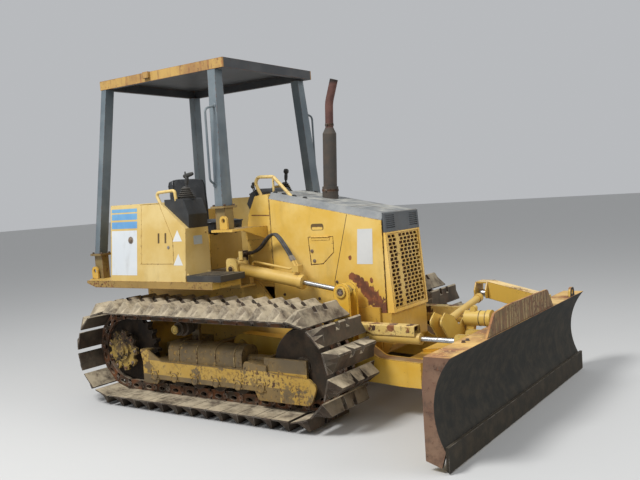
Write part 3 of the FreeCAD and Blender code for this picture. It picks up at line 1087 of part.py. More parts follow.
def build():
    parts = {"main_frame": main_frame(), "rear_beam": rear_beam(), "front_bulkhead": front_bulkhead(), "lift_brackets": lift_brackets(),
             "drawbar": drawbar()}
    parts.update(hood_parts())
    parts.update(dash_parts())
    parts["exhaust"] = exhaust(parts["hood_top"])
    parts.update(station_parts())
    parts["handrails"] = handrails(parts)
    parts.update(canopy_parts())
    parts["track_frames"] = Part.makeCompound([track_frame(s) for name, s in SIDES])
    parts["rollers"] = Part.makeCompound([roller for name, s in SIDES for roller in rollers(s)])
    parts["sprockets"] = Part.makeCompound([sprocket(s) for name, s in SIDES])
    for name, s in SIDES:
        parts["track_" + name] = track(s)
        parts["lift_barrel_" + name], parts["lift_rod_" + name] = hydraulic(
            V(LIFT_PIN_X, s * LIFT_Y, LIFT_PIN_Z), V(EAR_X, s * LIFT_Y, EAR_Z), V(0, 1, 0),
            LIFT_BARREL, LIFT_R, 7, LIFT_ROD_R, 340, 28, LIFT_FOOT, 40, 66)
        bore = parts["lift_barrel_" + name]
        # the pipe and block stand on the barrel and stay out of its bore
        axis = V(EAR_X - LIFT_PIN_X, 0, EAR_Z - LIFT_PIN_Z).normalize()
        foot = V(LIFT_PIN_X, s * LIFT_Y, LIFT_PIN_Z)
        core = rod(foot, foot + axis * (LIFT_BARREL + 10), LIFT_R - 12)
        line = fuse(lift_line(s)).cut(core)
        parts["lift_barrel_" + name] = fuse([bore, line])
        parts["angle_barrel_" + name], parts["angle_rod_" + name] = hydraulic(
            V(ANGLE_PIN_X, s * ANGLE_Y, ANGLE_Z), V(ANGLE_EYE_X, s * ANGLE_Y, ANGLE_Z), V(0, 0, 1),
            ANGLE_BARREL, ANGLE_R, 0, ANGLE_ROD_R, 266, 22, 60, 30, 56)
        parts["angle_guard_" + name] = angle_guard(s)
    parts["tilt_barrel"], parts["tilt_rod"] = hydraulic(
        V(TILT_X, TILT_BASE_Y, TILT_BASE_Z), V(TILT_X, TILT_EYE_Y, TILT_EYE_Z), V(1, 0, 0),
        TILT_BARREL, TILT_R, 7, TILT_ROD_R, 140, 16, 62, 30, 60)
    parts["push_frame"] = push_frame()
    parts["blade_yoke"] = blade_yoke()
    parts["mouldboard"] = mouldboard()
    parts["blade_brackets"] = blade_brackets(parts["mouldboard"])
    parts["cutting_edge"] = cutting_edge()
    return parts


parts = build()
boxes = [shape.BoundBox for shape in parts.values()]
shift = V(-(min(b.XMin for b in boxes) + max(b.XMax for b in boxes)) / 2, 0, 0)
os.makedirs("parts", exist_ok=True)
for name, shape in parts.items():
    shape.translate(shift)
    shape.exportStep("parts/" + name + ".step")
print("shift", round(shift.x, 2), "nodes", len(parts))
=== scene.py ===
import math

import bpy
import numpy as np
from mathutils import Euler, Matrix, Vector


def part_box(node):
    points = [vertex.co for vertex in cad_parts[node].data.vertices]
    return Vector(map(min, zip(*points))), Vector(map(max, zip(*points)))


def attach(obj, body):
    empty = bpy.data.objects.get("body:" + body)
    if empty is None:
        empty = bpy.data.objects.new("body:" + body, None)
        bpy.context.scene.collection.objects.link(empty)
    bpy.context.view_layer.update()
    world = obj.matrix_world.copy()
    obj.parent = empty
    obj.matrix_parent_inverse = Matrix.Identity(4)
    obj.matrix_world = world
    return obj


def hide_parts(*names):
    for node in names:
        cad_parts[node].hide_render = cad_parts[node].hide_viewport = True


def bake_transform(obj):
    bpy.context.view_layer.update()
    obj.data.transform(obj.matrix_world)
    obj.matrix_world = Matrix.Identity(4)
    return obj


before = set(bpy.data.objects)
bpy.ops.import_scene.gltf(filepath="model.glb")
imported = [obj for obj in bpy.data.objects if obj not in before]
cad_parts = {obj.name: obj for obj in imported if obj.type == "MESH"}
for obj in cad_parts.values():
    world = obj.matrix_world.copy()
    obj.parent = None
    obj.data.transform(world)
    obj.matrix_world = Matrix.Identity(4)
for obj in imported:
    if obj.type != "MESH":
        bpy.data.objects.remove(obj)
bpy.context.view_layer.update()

# Camera at the photograph's place: in front of the right track, at a standing person's eye
# height, with a moderate wide lens. Lengths along the machine are counted from the sprocket axis.
AXLE_X = sum(corner.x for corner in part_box("sprockets")) / 2
CAMERA_PLACE = (5.014 + AXLE_X, -5.174, 1.640)
CAMERA_YAW, CAMERA_PITCH, CAMERA_ROLL = 34.65, -3.51, -3.73
IMAGE_WIDTH, FOCAL_PIXELS, SENSOR_WIDTH = 640, 761.3, 36.0

yaw, pitch, roll = (math.radians(a) for a in (CAMERA_YAW, CAMERA_PITCH, CAMERA_ROLL))
ahead = np.array([-math.sin(yaw) * math.cos(pitch), math.cos(yaw) * math.cos(pitch), math.sin(pitch)])
level = np.array([math.cos(yaw), math.sin(yaw), 0.0])
over = np.cross(level, ahead)
right_way = math.cos(roll) * level + math.sin(roll) * over
up_way = math.cos(roll) * over - math.sin(roll) * level
lens = bpy.data.cameras.new("camera")
lens.sensor_width = SENSOR_WIDTH
lens.lens = FOCAL_PIXELS / IMAGE_WIDTH * SENSOR_WIDTH
camera = bpy.data.objects.new("camera", lens)
camera.matrix_world = Matrix([[right_way[i], up_way[i], -ahead[i], CAMERA_PLACE[i]] for i in range(3)]
                             + [[0, 0, 0, 1]])
bpy.context.scene.collection.objects.link(camera)
bpy.context.scene.camera = camera
bpy.context.scene.view_settings.view_transform = "Standard"

# Hydraulic hoses of the right lift cylinder: two wire-braided rubber hoses that arch from the manifold
# on its bracket over to the block on its barrel, stiff enough to hold themselves up.
HOSE_ROUTE = ((950, 336, 1186), (1055, 338, 1186), (1210, 352, 1345), (1345, 408, 1330), (1478, 422, 1128))
HOSE_DIAMETER, HOSE_APART = 0.022, 28


def add_node(tree, kind, inputs=None, **settings):
    """Adds a shader node; an input is a value or the output that feeds it."""
    node = tree.nodes.new("ShaderNode" + kind)
    for key, value in settings.items():
        setattr(node, key, value)
    for key, value in (inputs or {}).items():
        if isinstance(value, bpy.types.NodeSocket):
            tree.links.new(value, node.inputs[key])
        else:
            node.inputs[key].default_value = value
    return node


def at(x, y, z):
    """Point in metres from millimetres along from the sprocket axis, to the left and up."""
    return (x / 1000 + AXLE_X, y / 1000, z / 1000)


hose_rubber = bpy.data.materials.new("hose_rubber")
hose_rubber.use_nodes = True
tree = hose_rubber.node_tree
shader = tree.nodes["Principled BSDF"]
grey = add_node(tree, "TexNoise", {"Vector": tree.nodes.new("ShaderNodeTexCoord").outputs["Object"],
                                   "Scale": 30.0, "Detail": 5.0}).outputs["Fac"]
tone = add_node(tree, "ValToRGB", {"Fac": grey})
tone.color_ramp.elements[0].position, tone.color_ramp.elements[1].position = 0.35, 0.75
tone.color_ramp.elements[0].color = (0.022, 0.022, 0.024, 1)
tone.color_ramp.elements[1].color = (0.085, 0.082, 0.078, 1)
tree.links.new(tone.outputs["Color"], shader.inputs["Base Color"])
shader.inputs["Roughness"].default_value = 0.55
for row, shift in enumerate((0, HOSE_APART)):
    corners = [at(x, -y - shift, z) for x, y, z in HOSE_ROUTE]
    line = bpy.data.curves.new("hose_line", "CURVE")
    line.dimensions = "3D"
    run = line.splines.new("NURBS")
    run.points.add(len(corners) - 1)
    for point, corner in zip(run.points, corners):
        point.co = (*corner, 1)
    run.order_u = 3
    run.use_endpoint_u = True
    run.resolution_u = 16
    route = bpy.data.objects.new("hose_line", line)
    middle = bpy.data.meshes.new_from_object(route)
    line.bevel_depth = HOSE_DIAMETER / 2
    line.bevel_resolution = 4
    line.use_fill_caps = True
    tube = bpy.data.meshes.new_from_object(route)
    bpy.data.objects.remove(route)
    tube.materials.clear()
    tube.materials.append(hose_rubber)
    hose = bpy.data.objects.new("lift_hose_%d" % (row + 1), tube)
    bpy.context.scene.collection.objects.link(hose)
    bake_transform(hose)

# Studio: a pale level floor that runs out to the backdrop, a bright even sky and two soft lamps,
# one high on the right rear as the sun stands in the photograph and one in front.
FLOOR_COLOUR = (0.56, 0.56, 0.55, 1)
SKY_COLOUR = (0.80, 0.82, 0.85, 1)
SKY_STRENGTH = 0.60
LAMPS = (
    # name, place, aim, size, watts
    ("key_lamp", (-1.0, -5.4, 7.6), (0.4, 0.0, 1.0), 2.4, 680),
    ("front_lamp", (7.0, 1.5, 4.5), (0.8, 0.0, 0.9), 4.0, 170),
)


floor_mesh = bpy.data.meshes.new("floor")
floor_mesh.from_pydata([(-60, -60, 0), (60, -60, 0), (60, 60, 0), (-60, 60, 0)], [], [(0, 1, 2, 3)])
floor = bpy.data.objects.new("floor", floor_mesh)
bpy.context.scene.collection.objects.link(floor)
floor_look = bpy.data.materials.new("pale_floor")
floor_look.use_nodes = True
floor_look.node_tree.nodes["Principled BSDF"].inputs["Base Color"].default_value = FLOOR_COLOUR
floor_look.node_tree.nodes["Principled BSDF"].inputs["Roughness"].default_value = 0.9
floor_mesh.materials.append(floor_look)

world = bpy.data.worlds.new("studio")
world.use_nodes = True
bpy.context.scene.world = world
backdrop = world.node_tree.nodes["Background"]
backdrop.inputs["Color"].default_value = SKY_COLOUR
backdrop.inputs["Strength"].default_value = SKY_STRENGTH

for name, place, aim, size, watts in LAMPS:
    lamp = bpy.data.lights.new(name, "AREA")
    lamp.energy = watts
    lamp.size = size
    holder = bpy.data.objects.new(name, lamp)
    holder.location = place
    holder.rotation_euler = (Vector(aim) - Vector(place)).to_track_quat("-Z", "Y").to_euler()
    bpy.context.scene.collection.objects.link(holder)

# Hull and main frame: welded plate, rear drive case, side rails and the wall under the dash,
# all sprayed machine yellow that has faded, chipped to rust along its edges and gathered dust.
YELLOW = (0.70, 0.43, 0.075, 1)
YELLOW_FADED = (0.76, 0.53, 0.16, 1)
RUST = (0.20, 0.075, 0.028, 1)
RUST_DARK = (0.060, 0.026, 0.014, 1)
DUST = (0.42, 0.34, 0.22, 1)


def open_group(name, inputs, outputs):
    """Empty shader group with sockets from (name, kind, default) rows."""
    group = bpy.data.node_groups.new(name, "ShaderNodeTree")
    for label, kind, value in inputs:
        socket = group.interface.new_socket(label, in_out="INPUT", socket_type="NodeSocket" + kind)
        if value is not None:
            socket.default_value = value
    for label, kind in outputs:
        group.interface.new_socket(label, in_out="OUTPUT", socket_type="NodeSocket" + kind)
    return group, group.nodes.new("NodeGroupInput").outputs, group.nodes.new("NodeGroupOutput").inputs


def sum_of(tree, operation, *terms, clamp=False):
    """One Math node over one, two or three terms."""
    node = add_node(tree, "Math", dict(enumerate(terms)), operation=operation)
    node.use_clamp = clamp
    return node.outputs[0]


def step_over(tree, value, low, high):
    """Smooth step of a value from 0 at low to 1 at high."""
    return add_node(tree, "MapRange", {"Value": value, "From Min": low, "From Max": high},
                    interpolation_type="SMOOTHSTEP").outputs["Result"]


def blend_colours(tree, share, first, second):
    node = add_node(tree, "Mix", data_type="RGBA")
    for key, value in ((0, share), (6, first), (7, second)):
        if isinstance(value, bpy.types.NodeSocket):
            tree.links.new(value, node.inputs[key])
        else:
            node.inputs[key].default_value = value
    return node.outputs[2]


def cloud(tree, where, scale, detail=4.0, rough=0.55):
    """Fractal noise of a point."""
    return add_node(tree, "TexNoise", {"Vector": where, "Scale": scale, "Detail": detail,
                                       "Roughness": rough}).outputs["Fac"]


def stretched(tree, where, scale):
    return add_node(tree, "Mapping", {"Vector": where, "Scale": scale}).outputs["Vector"]


def make_weathering():
    """Paint worn by use: chips along edges and in clusters, rust in them and in streaks below,
    fading in clouds, and dust on what faces up or lies low."""
    group, given, out = open_group(
        "weathering",
        [("Paint", "Color", YELLOW), ("Faded", "Color", YELLOW_FADED), ("Rust", "Color", RUST),
         ("Dark rust", "Color", RUST_DARK), ("Dust", "Color", DUST), ("Edge wear", "Float", 0.5),
         ("Chips", "Float", 0.4), ("Streaks", "Float", 0.4), ("Dusting", "Float", 0.4),
         ("Patch", "Float", 0.0)],
        [("Color", "Color"), ("Roughness", "Float"), ("Height", "Float"), ("Bare", "Float")])
    where = group.nodes.new("ShaderNodeTexCoord").outputs["Object"]
    facing = group.nodes.new("ShaderNodeNewGeometry").outputs["Normal"]
    rounded = add_node(group, "Bevel", {"Radius": 0.007}, samples=4).outputs["Normal"]
    turn = add_node(group, "VectorMath", {0: rounded, 1: facing}, operation="DOT_PRODUCT").outputs["Value"]
    edge = step_over(group, turn, 0.995, 0.90)
    broken = cloud(group, where, 34.0, 5.0, 0.7)
    edge_cut = sum_of(group, "SUBTRACT", 0.74, sum_of(group, "MULTIPLY", given["Edge wear"], 0.40))
    edge_mask = sum_of(group, "MULTIPLY", edge, step_over(group, sum_of(group, "SUBTRACT", broken, edge_cut), 0.0, 0.05))
    cluster = step_over(group, cloud(group, where, 2.6, 4.0), 0.40, 0.60)
    chip_cut = sum_of(group, "SUBTRACT", 0.79, sum_of(group, "MULTIPLY", given["Chips"], 0.27))
    specks = step_over(group, sum_of(group, "SUBTRACT", cloud(group, where, 38.0, 7.0, 0.72), chip_cut), 0.0, 0.03)
    chip_mask = sum_of(group, "MULTIPLY", specks, cluster)
    upright = sum_of(group, "SUBTRACT", 1.0, sum_of(
        group, "ABSOLUTE", add_node(group, "SeparateXYZ", {0: facing}).outputs["Z"]))
    run = cloud(group, stretched(group, where, (30.0, 30.0, 1.6)), 1.0, 5.0, 0.7)
    run_cut = sum_of(group, "SUBTRACT", 0.82, sum_of(group, "MULTIPLY", given["Streaks"], 0.25))
    streak_mask = sum_of(group, "MULTIPLY", sum_of(
        group, "MULTIPLY", step_over(group, sum_of(group, "SUBTRACT", run, run_cut), 0.0, 0.10), upright), 0.75)
    ragged = sum_of(group, "MULTIPLY", given["Patch"], 1.0)
    patch_mask = step_over(group, sum_of(group, "ADD", ragged, sum_of(
        group, "MULTIPLY", sum_of(group, "SUBTRACT", cloud(group, stretched(group, where, (21.0, 21.0, 12.0)), 1.0, 7.0, 0.72), 0.5),
        3.4)), 0.40, 0.56)
    has_patch = sum_of(group, "GREATER_THAN", given["Patch"], 0.02)
    bare = sum_of(group, "MAXIMUM", sum_of(group, "MAXIMUM", edge_mask, chip_mask),
                  sum_of(group, "MULTIPLY", patch_mask, has_patch))
    rusty = sum_of(group, "MAXIMUM", bare, streak_mask)
    rust_tone = blend_colours(group, step_over(group, cloud(group, where, 22.0, 5.0), 0.40, 0.62),
                              given["Dark rust"], given["Rust"])
    fade = step_over(group, cloud(group, where, 3.1, 4.0, 0.6), 0.36, 0.68)
    paint = blend_colours(group, fade, given["Paint"], given["Faded"])
    grime = step_over(group, cloud(group, stretched(group, where, (9.0, 9.0, 2.6)), 1.0, 6.0, 0.68), 0.52, 0.80)
    paint = blend_colours(group, sum_of(group, "MULTIPLY", grime, 0.22), paint, (0.16, 0.11, 0.06, 1))
    worn = blend_colours(group, rusty, paint, rust_tone)
    height = add_node(group, "SeparateXYZ", {0: where}).outputs["Z"]
    low = step_over(group, height, 0.95, 0.10)
    top = step_over(group, add_node(group, "SeparateXYZ", {0: facing}).outputs["Z"], 0.35, 0.95)
    lies = sum_of(group, "ADD", sum_of(group, "MULTIPLY", top, 0.75), sum_of(group, "MULTIPLY", low, 0.45))
    powder = step_over(group, cloud(group, where, 7.0, 6.0, 0.65), 0.30, 0.72)
    dust_mask = sum_of(group, "MULTIPLY", sum_of(group, "MULTIPLY", lies, powder), given["Dusting"], clamp=True)
    group.links.new(blend_colours(group, dust_mask, worn, given["Dust"]), out["Color"])
    rough = sum_of(group, "ADD", 0.42, sum_of(group, "MULTIPLY", rusty, 0.42))
    rough = sum_of(group, "ADD", rough, sum_of(group, "MULTIPLY", fade, 0.10))
    group.links.new(sum_of(group, "MAXIMUM", rough, sum_of(group, "MULTIPLY", dust_mask, 0.92)), out["Roughness"])
    ripple = sum_of(group, "MULTIPLY", cloud(group, where, 5.0, 2.0), 0.25)
    pits = sum_of(group, "MULTIPLY", sum_of(group, "MULTIPLY", bare, cloud(group, where, 120.0, 4.0)), 0.8)
    group.links.new(sum_of(group, "SUBTRACT", ripple, sum_of(group, "ADD", pits, sum_of(
        group, "MULTIPLY", bare, 0.5))), out["Height"])
    group.links.new(bare, out["Bare"])
    return group


def make_patch():
    """Mask that is 1 at a centre and falls to 0 at an ellipsoid of the given size."""
    group, given, out = open_group("patch", [("Centre", "Vector", None), ("Size", "Vector", None)],
                                   [("Mask", "Float")])
    where = group.nodes.new("ShaderNodeTexCoord").outputs["Object"]
    away = add_node(group, "VectorMath", {0: where, 1: given["Centre"]}, operation="SUBTRACT").outputs["Vector"]
    share = add_node(group, "VectorMath", {0: away, 1: given["Size"]}, operation="DIVIDE").outputs["Vector"]
    length = add_node(group, "VectorMath", {0: share}, operation="LENGTH").outputs["Value"]
    group.links.new(step_over(group, length, 1.0, 0.35), out["Mask"])
    return group


WEATHERING = make_weathering()
PATCH = make_patch()


def group_node(tree, group, values):
    """Places a group in a material and sets its inputs by name."""
    node = tree.nodes.new("ShaderNodeGroup")
    node.node_tree = group
    for key, value in values.items():
        if isinstance(value, bpy.types.NodeSocket):
            tree.links.new(value, node.inputs[key])
        else:
            node.inputs[key].default_value = value
    return node


def worn_values(paint=YELLOW, faded=YELLOW_FADED, edge=0.5, chips=0.4, streaks=0.4, dusting=0.4, rust=RUST,
                dark=RUST_DARK, dust=DUST, patch=0.0):
    return {"Paint": paint, "Faded": faded, "Rust": rust, "Dark rust": dark, "Dust": dust, "Edge wear": edge,
            "Chips": chips, "Streaks": streaks, "Dusting": dusting, "Patch": patch}


def finished(name, layers, bump=0.25):
    """Material from group nodes laid over each other; each layer is (group, values, mask function)."""
    look = bpy.data.materials.new(name)
    look.use_nodes = True
    tree = look.node_tree
    shader = tree.nodes["Principled BSDF"]
    colour = rough = height = metal = None
    for group, values, mask in layers:
        node = group_node(tree, group, {key: value(tree) if callable(value) else value
                                        for key, value in values.items()})
        shine = node.outputs["Metallic"] if "Metallic" in node.outputs else 0.0
        if colour is None:
            colour, rough, height, metal = (node.outputs[0], node.outputs["Roughness"], node.outputs["Height"], shine)
            continue
        share = mask(tree)
        colour = blend_colours(tree, share, colour, node.outputs[0])
        rough = mixed(tree, share, rough, node.outputs["Roughness"])
        height = mixed(tree, share, height, node.outputs["Height"])
        metal = mixed(tree, share, metal, shine)
    tree.links.new(colour, shader.inputs["Base Color"])
    tree.links.new(rough, shader.inputs["Roughness"])
    if metal != 0.0:
        tree.links.new(metal, shader.inputs["Metallic"])
    relief = add_node(tree, "Bump", {"Height": height, "Strength": bump, "Distance": 0.004})
    tree.links.new(relief.outputs["Normal"], shader.inputs["Normal"])
    shader.inputs["Specular IOR Level"].default_value = 0.45
    return look


def mixed(tree, share, first, second):
    """Value between two, by a share."""
    return sum_of(tree, "ADD", sum_of(tree, "MULTIPLY", first, sum_of(tree, "SUBTRACT", 1.0, share)),
                  sum_of(tree, "MULTIPLY", second, share))


def patches_at(*rows):
    """Function that makes the mask of rusted places, given as (centre, size) in millimetres."""
    def mask(tree):
        whole = None
        for centre, size in rows:
            spot = group_node(tree, PATCH, {"Centre": at(*centre), "Size": [s / 1000 for s in size]}).outputs[0]
            whole = spot if whole is None else sum_of(tree, "MAXIMUM", whole, spot)
        return whole
    return mask


def painted(name, bump=0.25, **values):
    """Sprayed paint with its wear."""
    return finished(name, [(WEATHERING, worn_values(**values), None)], bump)


def facing_axis(tree, axis, low=0.80, high=0.92):
    """1 on faces turned along +axis, given as "+X" or "-Y" and so on, or along both ways for "Y"."""
    part = add_node(tree, "SeparateXYZ", {0: tree.nodes.new("ShaderNodeNewGeometry").outputs["Normal"]})
    value = part.outputs[axis[-1]]
    if len(axis) == 1:
        value = sum_of(tree, "ABSOLUTE", value)
    elif axis[0] == "-":
        value = sum_of(tree, "MULTIPLY", value, -1.0)
    return step_over(tree, value, low, high)


def between(tree, axis, low, high, soft=4.0, both=False):
    """1 where a coordinate in millimetres lies between two values; both takes its size alone."""
    part = add_node(tree, "SeparateXYZ", {0: tree.nodes.new("ShaderNodeTexCoord").outputs["Object"]}).outputs[axis]
    if both:
        part = sum_of(tree, "ABSOLUTE", part)
    shift = AXLE_X if axis == "X" else 0.0
    rise = step_over(tree, part, low / 1000 + shift, (low + soft) / 1000 + shift)
    fall = step_over(tree, part, (high + soft) / 1000 + shift, high / 1000 + shift)
    return sum_of(tree, "MULTIPLY", rise, fall)


def all_of(tree, *masks):
    whole = masks[0]
    for mask in masks[1:]:
        whole = sum_of(tree, "MULTIPLY", whole, mask)
    return whole


def broken_up(tree, scale, low, high):
    """Mask of islands of fractal noise."""
    return step_over(tree, cloud(tree, tree.nodes.new("ShaderNodeTexCoord").outputs["Object"], scale, 6.0, 0.68), low, high)


def cover(look, *names):
    """Gives CAD nodes a finish."""
    for name in names:
        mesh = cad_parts[name].data
        mesh.materials.clear()
        mesh.materials.append(look)


hull_paint = painted("hull_paint", paint=(0.60, 0.36, 0.055, 1), faded=(0.66, 0.43, 0.11, 1), edge=0.7, chips=0.7,
                     streaks=0.55, dusting=0.9, dust=(0.26, 0.17, 0.075, 1))
cover(hull_paint, "main_frame", "front_bulkhead", "drawbar")


def placed(points):
    """Rows of millimetre points, from the sprocket axis, as metres in the frame."""
    points = np.asarray(points, float) / 1000
    points[..., 0] += AXLE_X
    return points


def piece(name, parts, look, body, bevel=0.0, smooth=True, levels=0):
    """Mesh object from (points, faces) pairs in millimetres, with a finish, riding on a body."""
    points, faces, count = [], [], 0
    for more, quads in parts:
        more = np.asarray(more, float).reshape(-1, 3)
        points.append(more)
        faces += [[int(i) + count for i in face] for face in quads]
        count += len(more)
    mesh = bpy.data.meshes.new(name)
    mesh.from_pydata(placed(np.concatenate(points)).tolist(), [], faces)
    mesh.materials.append(look)
    mesh.polygons.foreach_set("use_smooth", np.full(len(faces), smooth))
    made = bpy.data.objects.new(name, mesh)
    bpy.context.scene.collection.objects.link(made)
    if smooth:
        mesh.set_sharp_from_angle(angle=math.radians(35))
    if bevel:
        rounding = made.modifiers.new("rounding", "BEVEL")
        rounding.width = bevel / 1000
        rounding.segments = 2
        rounding.limit_method = "ANGLE"
        rounding.angle_limit = math.radians(30)
    if levels:
        softening = made.modifiers.new("softening", "SUBSURF")
        softening.levels = levels
        softening.render_levels = levels
    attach(made, body)
    return made


def ring_faces(rows, columns, closed_rows=False):
    """Quads between neighbouring rings of a grid whose columns close on themselves."""
    r = np.arange(rows if closed_rows else rows - 1)[:, None]
    c = np.arange(columns)[None, :]
    below, above = r * columns, ((r + 1) % rows) * columns
    after = (c + 1) % columns
    return np.stack([below + c, below + after, above + after, above + c], -1).reshape(-1, 4).tolist()


def turned_shape(profile, centre, axis, segments=24):
    """Surface of revolution: a profile of (distance along the axis, radius) turned round it; the ends
    are closed where they are."""
    profile = np.asarray(profile, float)
    axis = np.asarray(axis, float) / np.linalg.norm(axis)
    side = np.cross(axis, (0, 0, 1) if abs(axis[2]) < 0.9 else (1, 0, 0))
    side /= np.linalg.norm(side)
    other = np.cross(axis, side)
    angle = np.linspace(0, 2 * math.pi, segments, endpoint=False)
    spokes = np.cos(angle)[:, None] * side + np.sin(angle)[:, None] * other
    points = np.asarray(centre, float) + profile[:, :1, None] * axis + profile[:, 1:, None] * spokes
    faces = ring_faces(len(profile), segments)
    faces += [list(range(segments))[::-1], [(len(profile) - 1) * segments + i for i in range(segments)]]
    return points, faces


def swept(path, profile, up=(0, 0, 1), closed=False):
    """A closed profile of (across, up) carried along a path, square to it; the ends are capped."""
    path = np.asarray(path, float)
    ahead = np.roll(path, -1, 0) - np.roll(path, 1, 0) if closed else np.gradient(path, axis=0)
    ahead /= np.linalg.norm(ahead, axis=1)[:, None]
    across = np.cross(ahead, up)
    across /= np.linalg.norm(across, axis=1)[:, None]
    rise = np.cross(across, ahead)
    profile = np.asarray(profile, float)
    points = path[:, None] + profile[None, :, :1] * across[:, None] + profile[None, :, 1:] * rise[:, None]
    count = len(profile)
    faces = ring_faces(len(path), count, closed)
    if not closed:
        faces += [list(range(count))[::-1], [(len(path) - 1) * count + i for i in range(count)]]
    return points, faces


def circle(radius, segments=12):
    angle = np.linspace(0, 2 * math.pi, segments, endpoint=False)
    return np.stack([np.cos(angle), np.sin(angle)], -1) * radius


def slab(outline, start, depth, along):
    """Flat plate: an outline of two coordinates pushed along x, y or z."""
    outline = np.asarray(outline, float)
    order = {"x": (2, 0, 1), "y": (0, 2, 1), "z": (0, 1, 2)}[along]
    low = np.concatenate([outline, np.full((len(outline), 1), start)], 1)[:, order]
    high = np.concatenate([outline, np.full((len(outline), 1), start + depth)], 1)[:, order]
    count = len(outline)
    faces = ring_faces(2, count) + [list(range(count))[::-1], list(range(count, 2 * count))]
    area = np.sum(outline[:, 0] * np.roll(outline[:, 1], -1) - np.roll(outline[:, 0], -1) * outline[:, 1])
    turned = (area < 0) ^ (depth < 0) ^ (along == "y")
    if turned:
        faces = [face[::-1] for face in faces]
    return np.concatenate([low, high]), faces


def box_shape(x0, x1, y0, y1, z0, z1):
    return slab([(x0, y0), (x1, y0), (x1, y1), (x0, y1)], z0, z1 - z0, "z")


def bolt(centre, way, across=22.0, height=13.0, washer=30.0):
    """Hexagon bolt head on a washer: a six-sided profile with a bevelled top."""
    way = np.asarray(way, float) / np.linalg.norm(way)
    disc = turned_shape([(0, washer / 2), (3, washer / 2)], centre, way, 16)
    head = turned_shape([(3, across / 1.75), (3 + height - 2, across / 1.75), (3 + height, across / 2.1)],
                        centre, way, 6)
    return [disc, head]

# Track shoes: swamp shoes of cast steel with sloping ridges, dry mud and dust on the upper run,
# rust-brown below and rubbed bright along the ridges; the chain pins end in dark rings.
TRACK_Y, LINK_PITCH, LINK_COUNT, TEETH = 816, 154, 36, 12
CHAIN_RADIUS = LINK_PITCH / (2 * math.sin(math.pi / TEETH))
AXLE_Z = 135 + CHAIN_RADIUS
IDLER_X = (LINK_COUNT - TEETH) * LINK_PITCH / 2
STEEL_DARK = (0.042, 0.031, 0.023, 1)
STEEL_DUST = (0.50, 0.42, 0.29, 1)


def make_bare_steel():
    """Cast steel browned by rust, bright where it rubs, under dust that lies on upward faces."""
    group, given, out = open_group(
        "bare_steel",
        [("Steel", "Color", STEEL_DARK), ("Rust", "Color", RUST), ("Dust", "Color", STEEL_DUST),
         ("Dusting", "Float", 0.6), ("Polish", "Float", 0.3)],
        [("Color", "Color"), ("Roughness", "Float"), ("Metallic", "Float"), ("Height", "Float")])
    where = group.nodes.new("ShaderNodeTexCoord").outputs["Object"]
    facing = group.nodes.new("ShaderNodeNewGeometry").outputs["Normal"]
    rounded = add_node(group, "Bevel", {"Radius": 0.006}, samples=4).outputs["Normal"]
    turn = add_node(group, "VectorMath", {0: rounded, 1: facing}, operation="DOT_PRODUCT").outputs["Value"]
    rubbed = sum_of(group, "MULTIPLY", step_over(group, turn, 0.995, 0.93),
                    step_over(group, cloud(group, where, 14.0, 5.0, 0.7), 0.40, 0.60))
    shine = sum_of(group, "MULTIPLY", rubbed, given["Polish"])
    tone = blend_colours(group, step_over(group, cloud(group, where, 11.0, 6.0, 0.68), 0.38, 0.68),
                         given["Steel"], given["Rust"])
    tone = blend_colours(group, shine, tone, (0.42, 0.38, 0.33, 1))
    top = step_over(group, add_node(group, "SeparateXYZ", {0: facing}).outputs["Z"], 0.05, 0.80)
    powder = step_over(group, cloud(group, where, 8.0, 7.0, 0.7), 0.26, 0.62)
    dust = sum_of(group, "MULTIPLY", sum_of(group, "MULTIPLY", top, powder), given["Dusting"], clamp=True)
    faint = sum_of(group, "MULTIPLY", step_over(group, cloud(group, where, 4.0, 5.0), 0.36, 0.66), 0.14)
    dust = sum_of(group, "MAXIMUM", dust, sum_of(group, "MULTIPLY", faint, given["Dusting"]))
    group.links.new(blend_colours(group, dust, tone, given["Dust"]), out["Color"])
    group.links.new(sum_of(group, "SUBTRACT", 0.86, sum_of(group, "MULTIPLY", shine, 0.45)), out["Roughness"])
    group.links.new(sum_of(group, "MULTIPLY", sum_of(group, "SUBTRACT", 1.0, dust), 0.35), out["Metallic"])
    group.links.new(cloud(group, where, 42.0, 6.0, 0.7), out["Height"])
    return group


BARE_STEEL = make_bare_steel()


def steel_values(tone=STEEL_DARK, rust=RUST, dust=STEEL_DUST, dusting=0.6, polish=0.3):
    return {"Steel": tone, "Rust": rust, "Dust": dust, "Dusting": dusting, "Polish": polish}


def steel(name, bump=0.35, **values):
    """Bare steel with its rust and dust."""
    return finished(name, [(BARE_STEEL, steel_values(**values), None)], bump)


track_look = steel("track_steel", rust=(0.085, 0.054, 0.037, 1), dusting=0.95, polish=0.8)
link_look = steel("link_steel", tone=(0.06, 0.043, 0.03, 1), dusting=0.45, polish=0.8)
RIDGE_T, REACH, SHOE_HALF = LINK_PITCH * -0.18, 74.5, 300


def chain_point(distance):
    """Point and heading on the chain line, a distance from the front end of the lower run."""
    straight, turn = IDLER_X, math.pi * CHAIN_RADIUS
    d = distance % (2 * straight + 2 * turn)
    if d < straight:
        return IDLER_X - d, AXLE_Z - CHAIN_RADIUS, math.pi
    if d < straight + turn:
        a = -math.pi / 2 - (d - straight) / CHAIN_RADIUS
        return CHAIN_RADIUS * math.cos(a), AXLE_Z + CHAIN_RADIUS * math.sin(a), a - math.pi / 2
    if d < 2 * straight + turn:
        return d - straight - turn, AXLE_Z + CHAIN_RADIUS, 0.0
    a = math.pi / 2 - (d - 2 * straight - turn) / CHAIN_RADIUS
    return IDLER_X + CHAIN_RADIUS * math.cos(a), AXLE_Z + CHAIN_RADIUS * math.sin(a), a - math.pi / 2


LINK_STEP = (2 * IDLER_X + 2 * math.pi * CHAIN_RADIUS) / LINK_COUNT


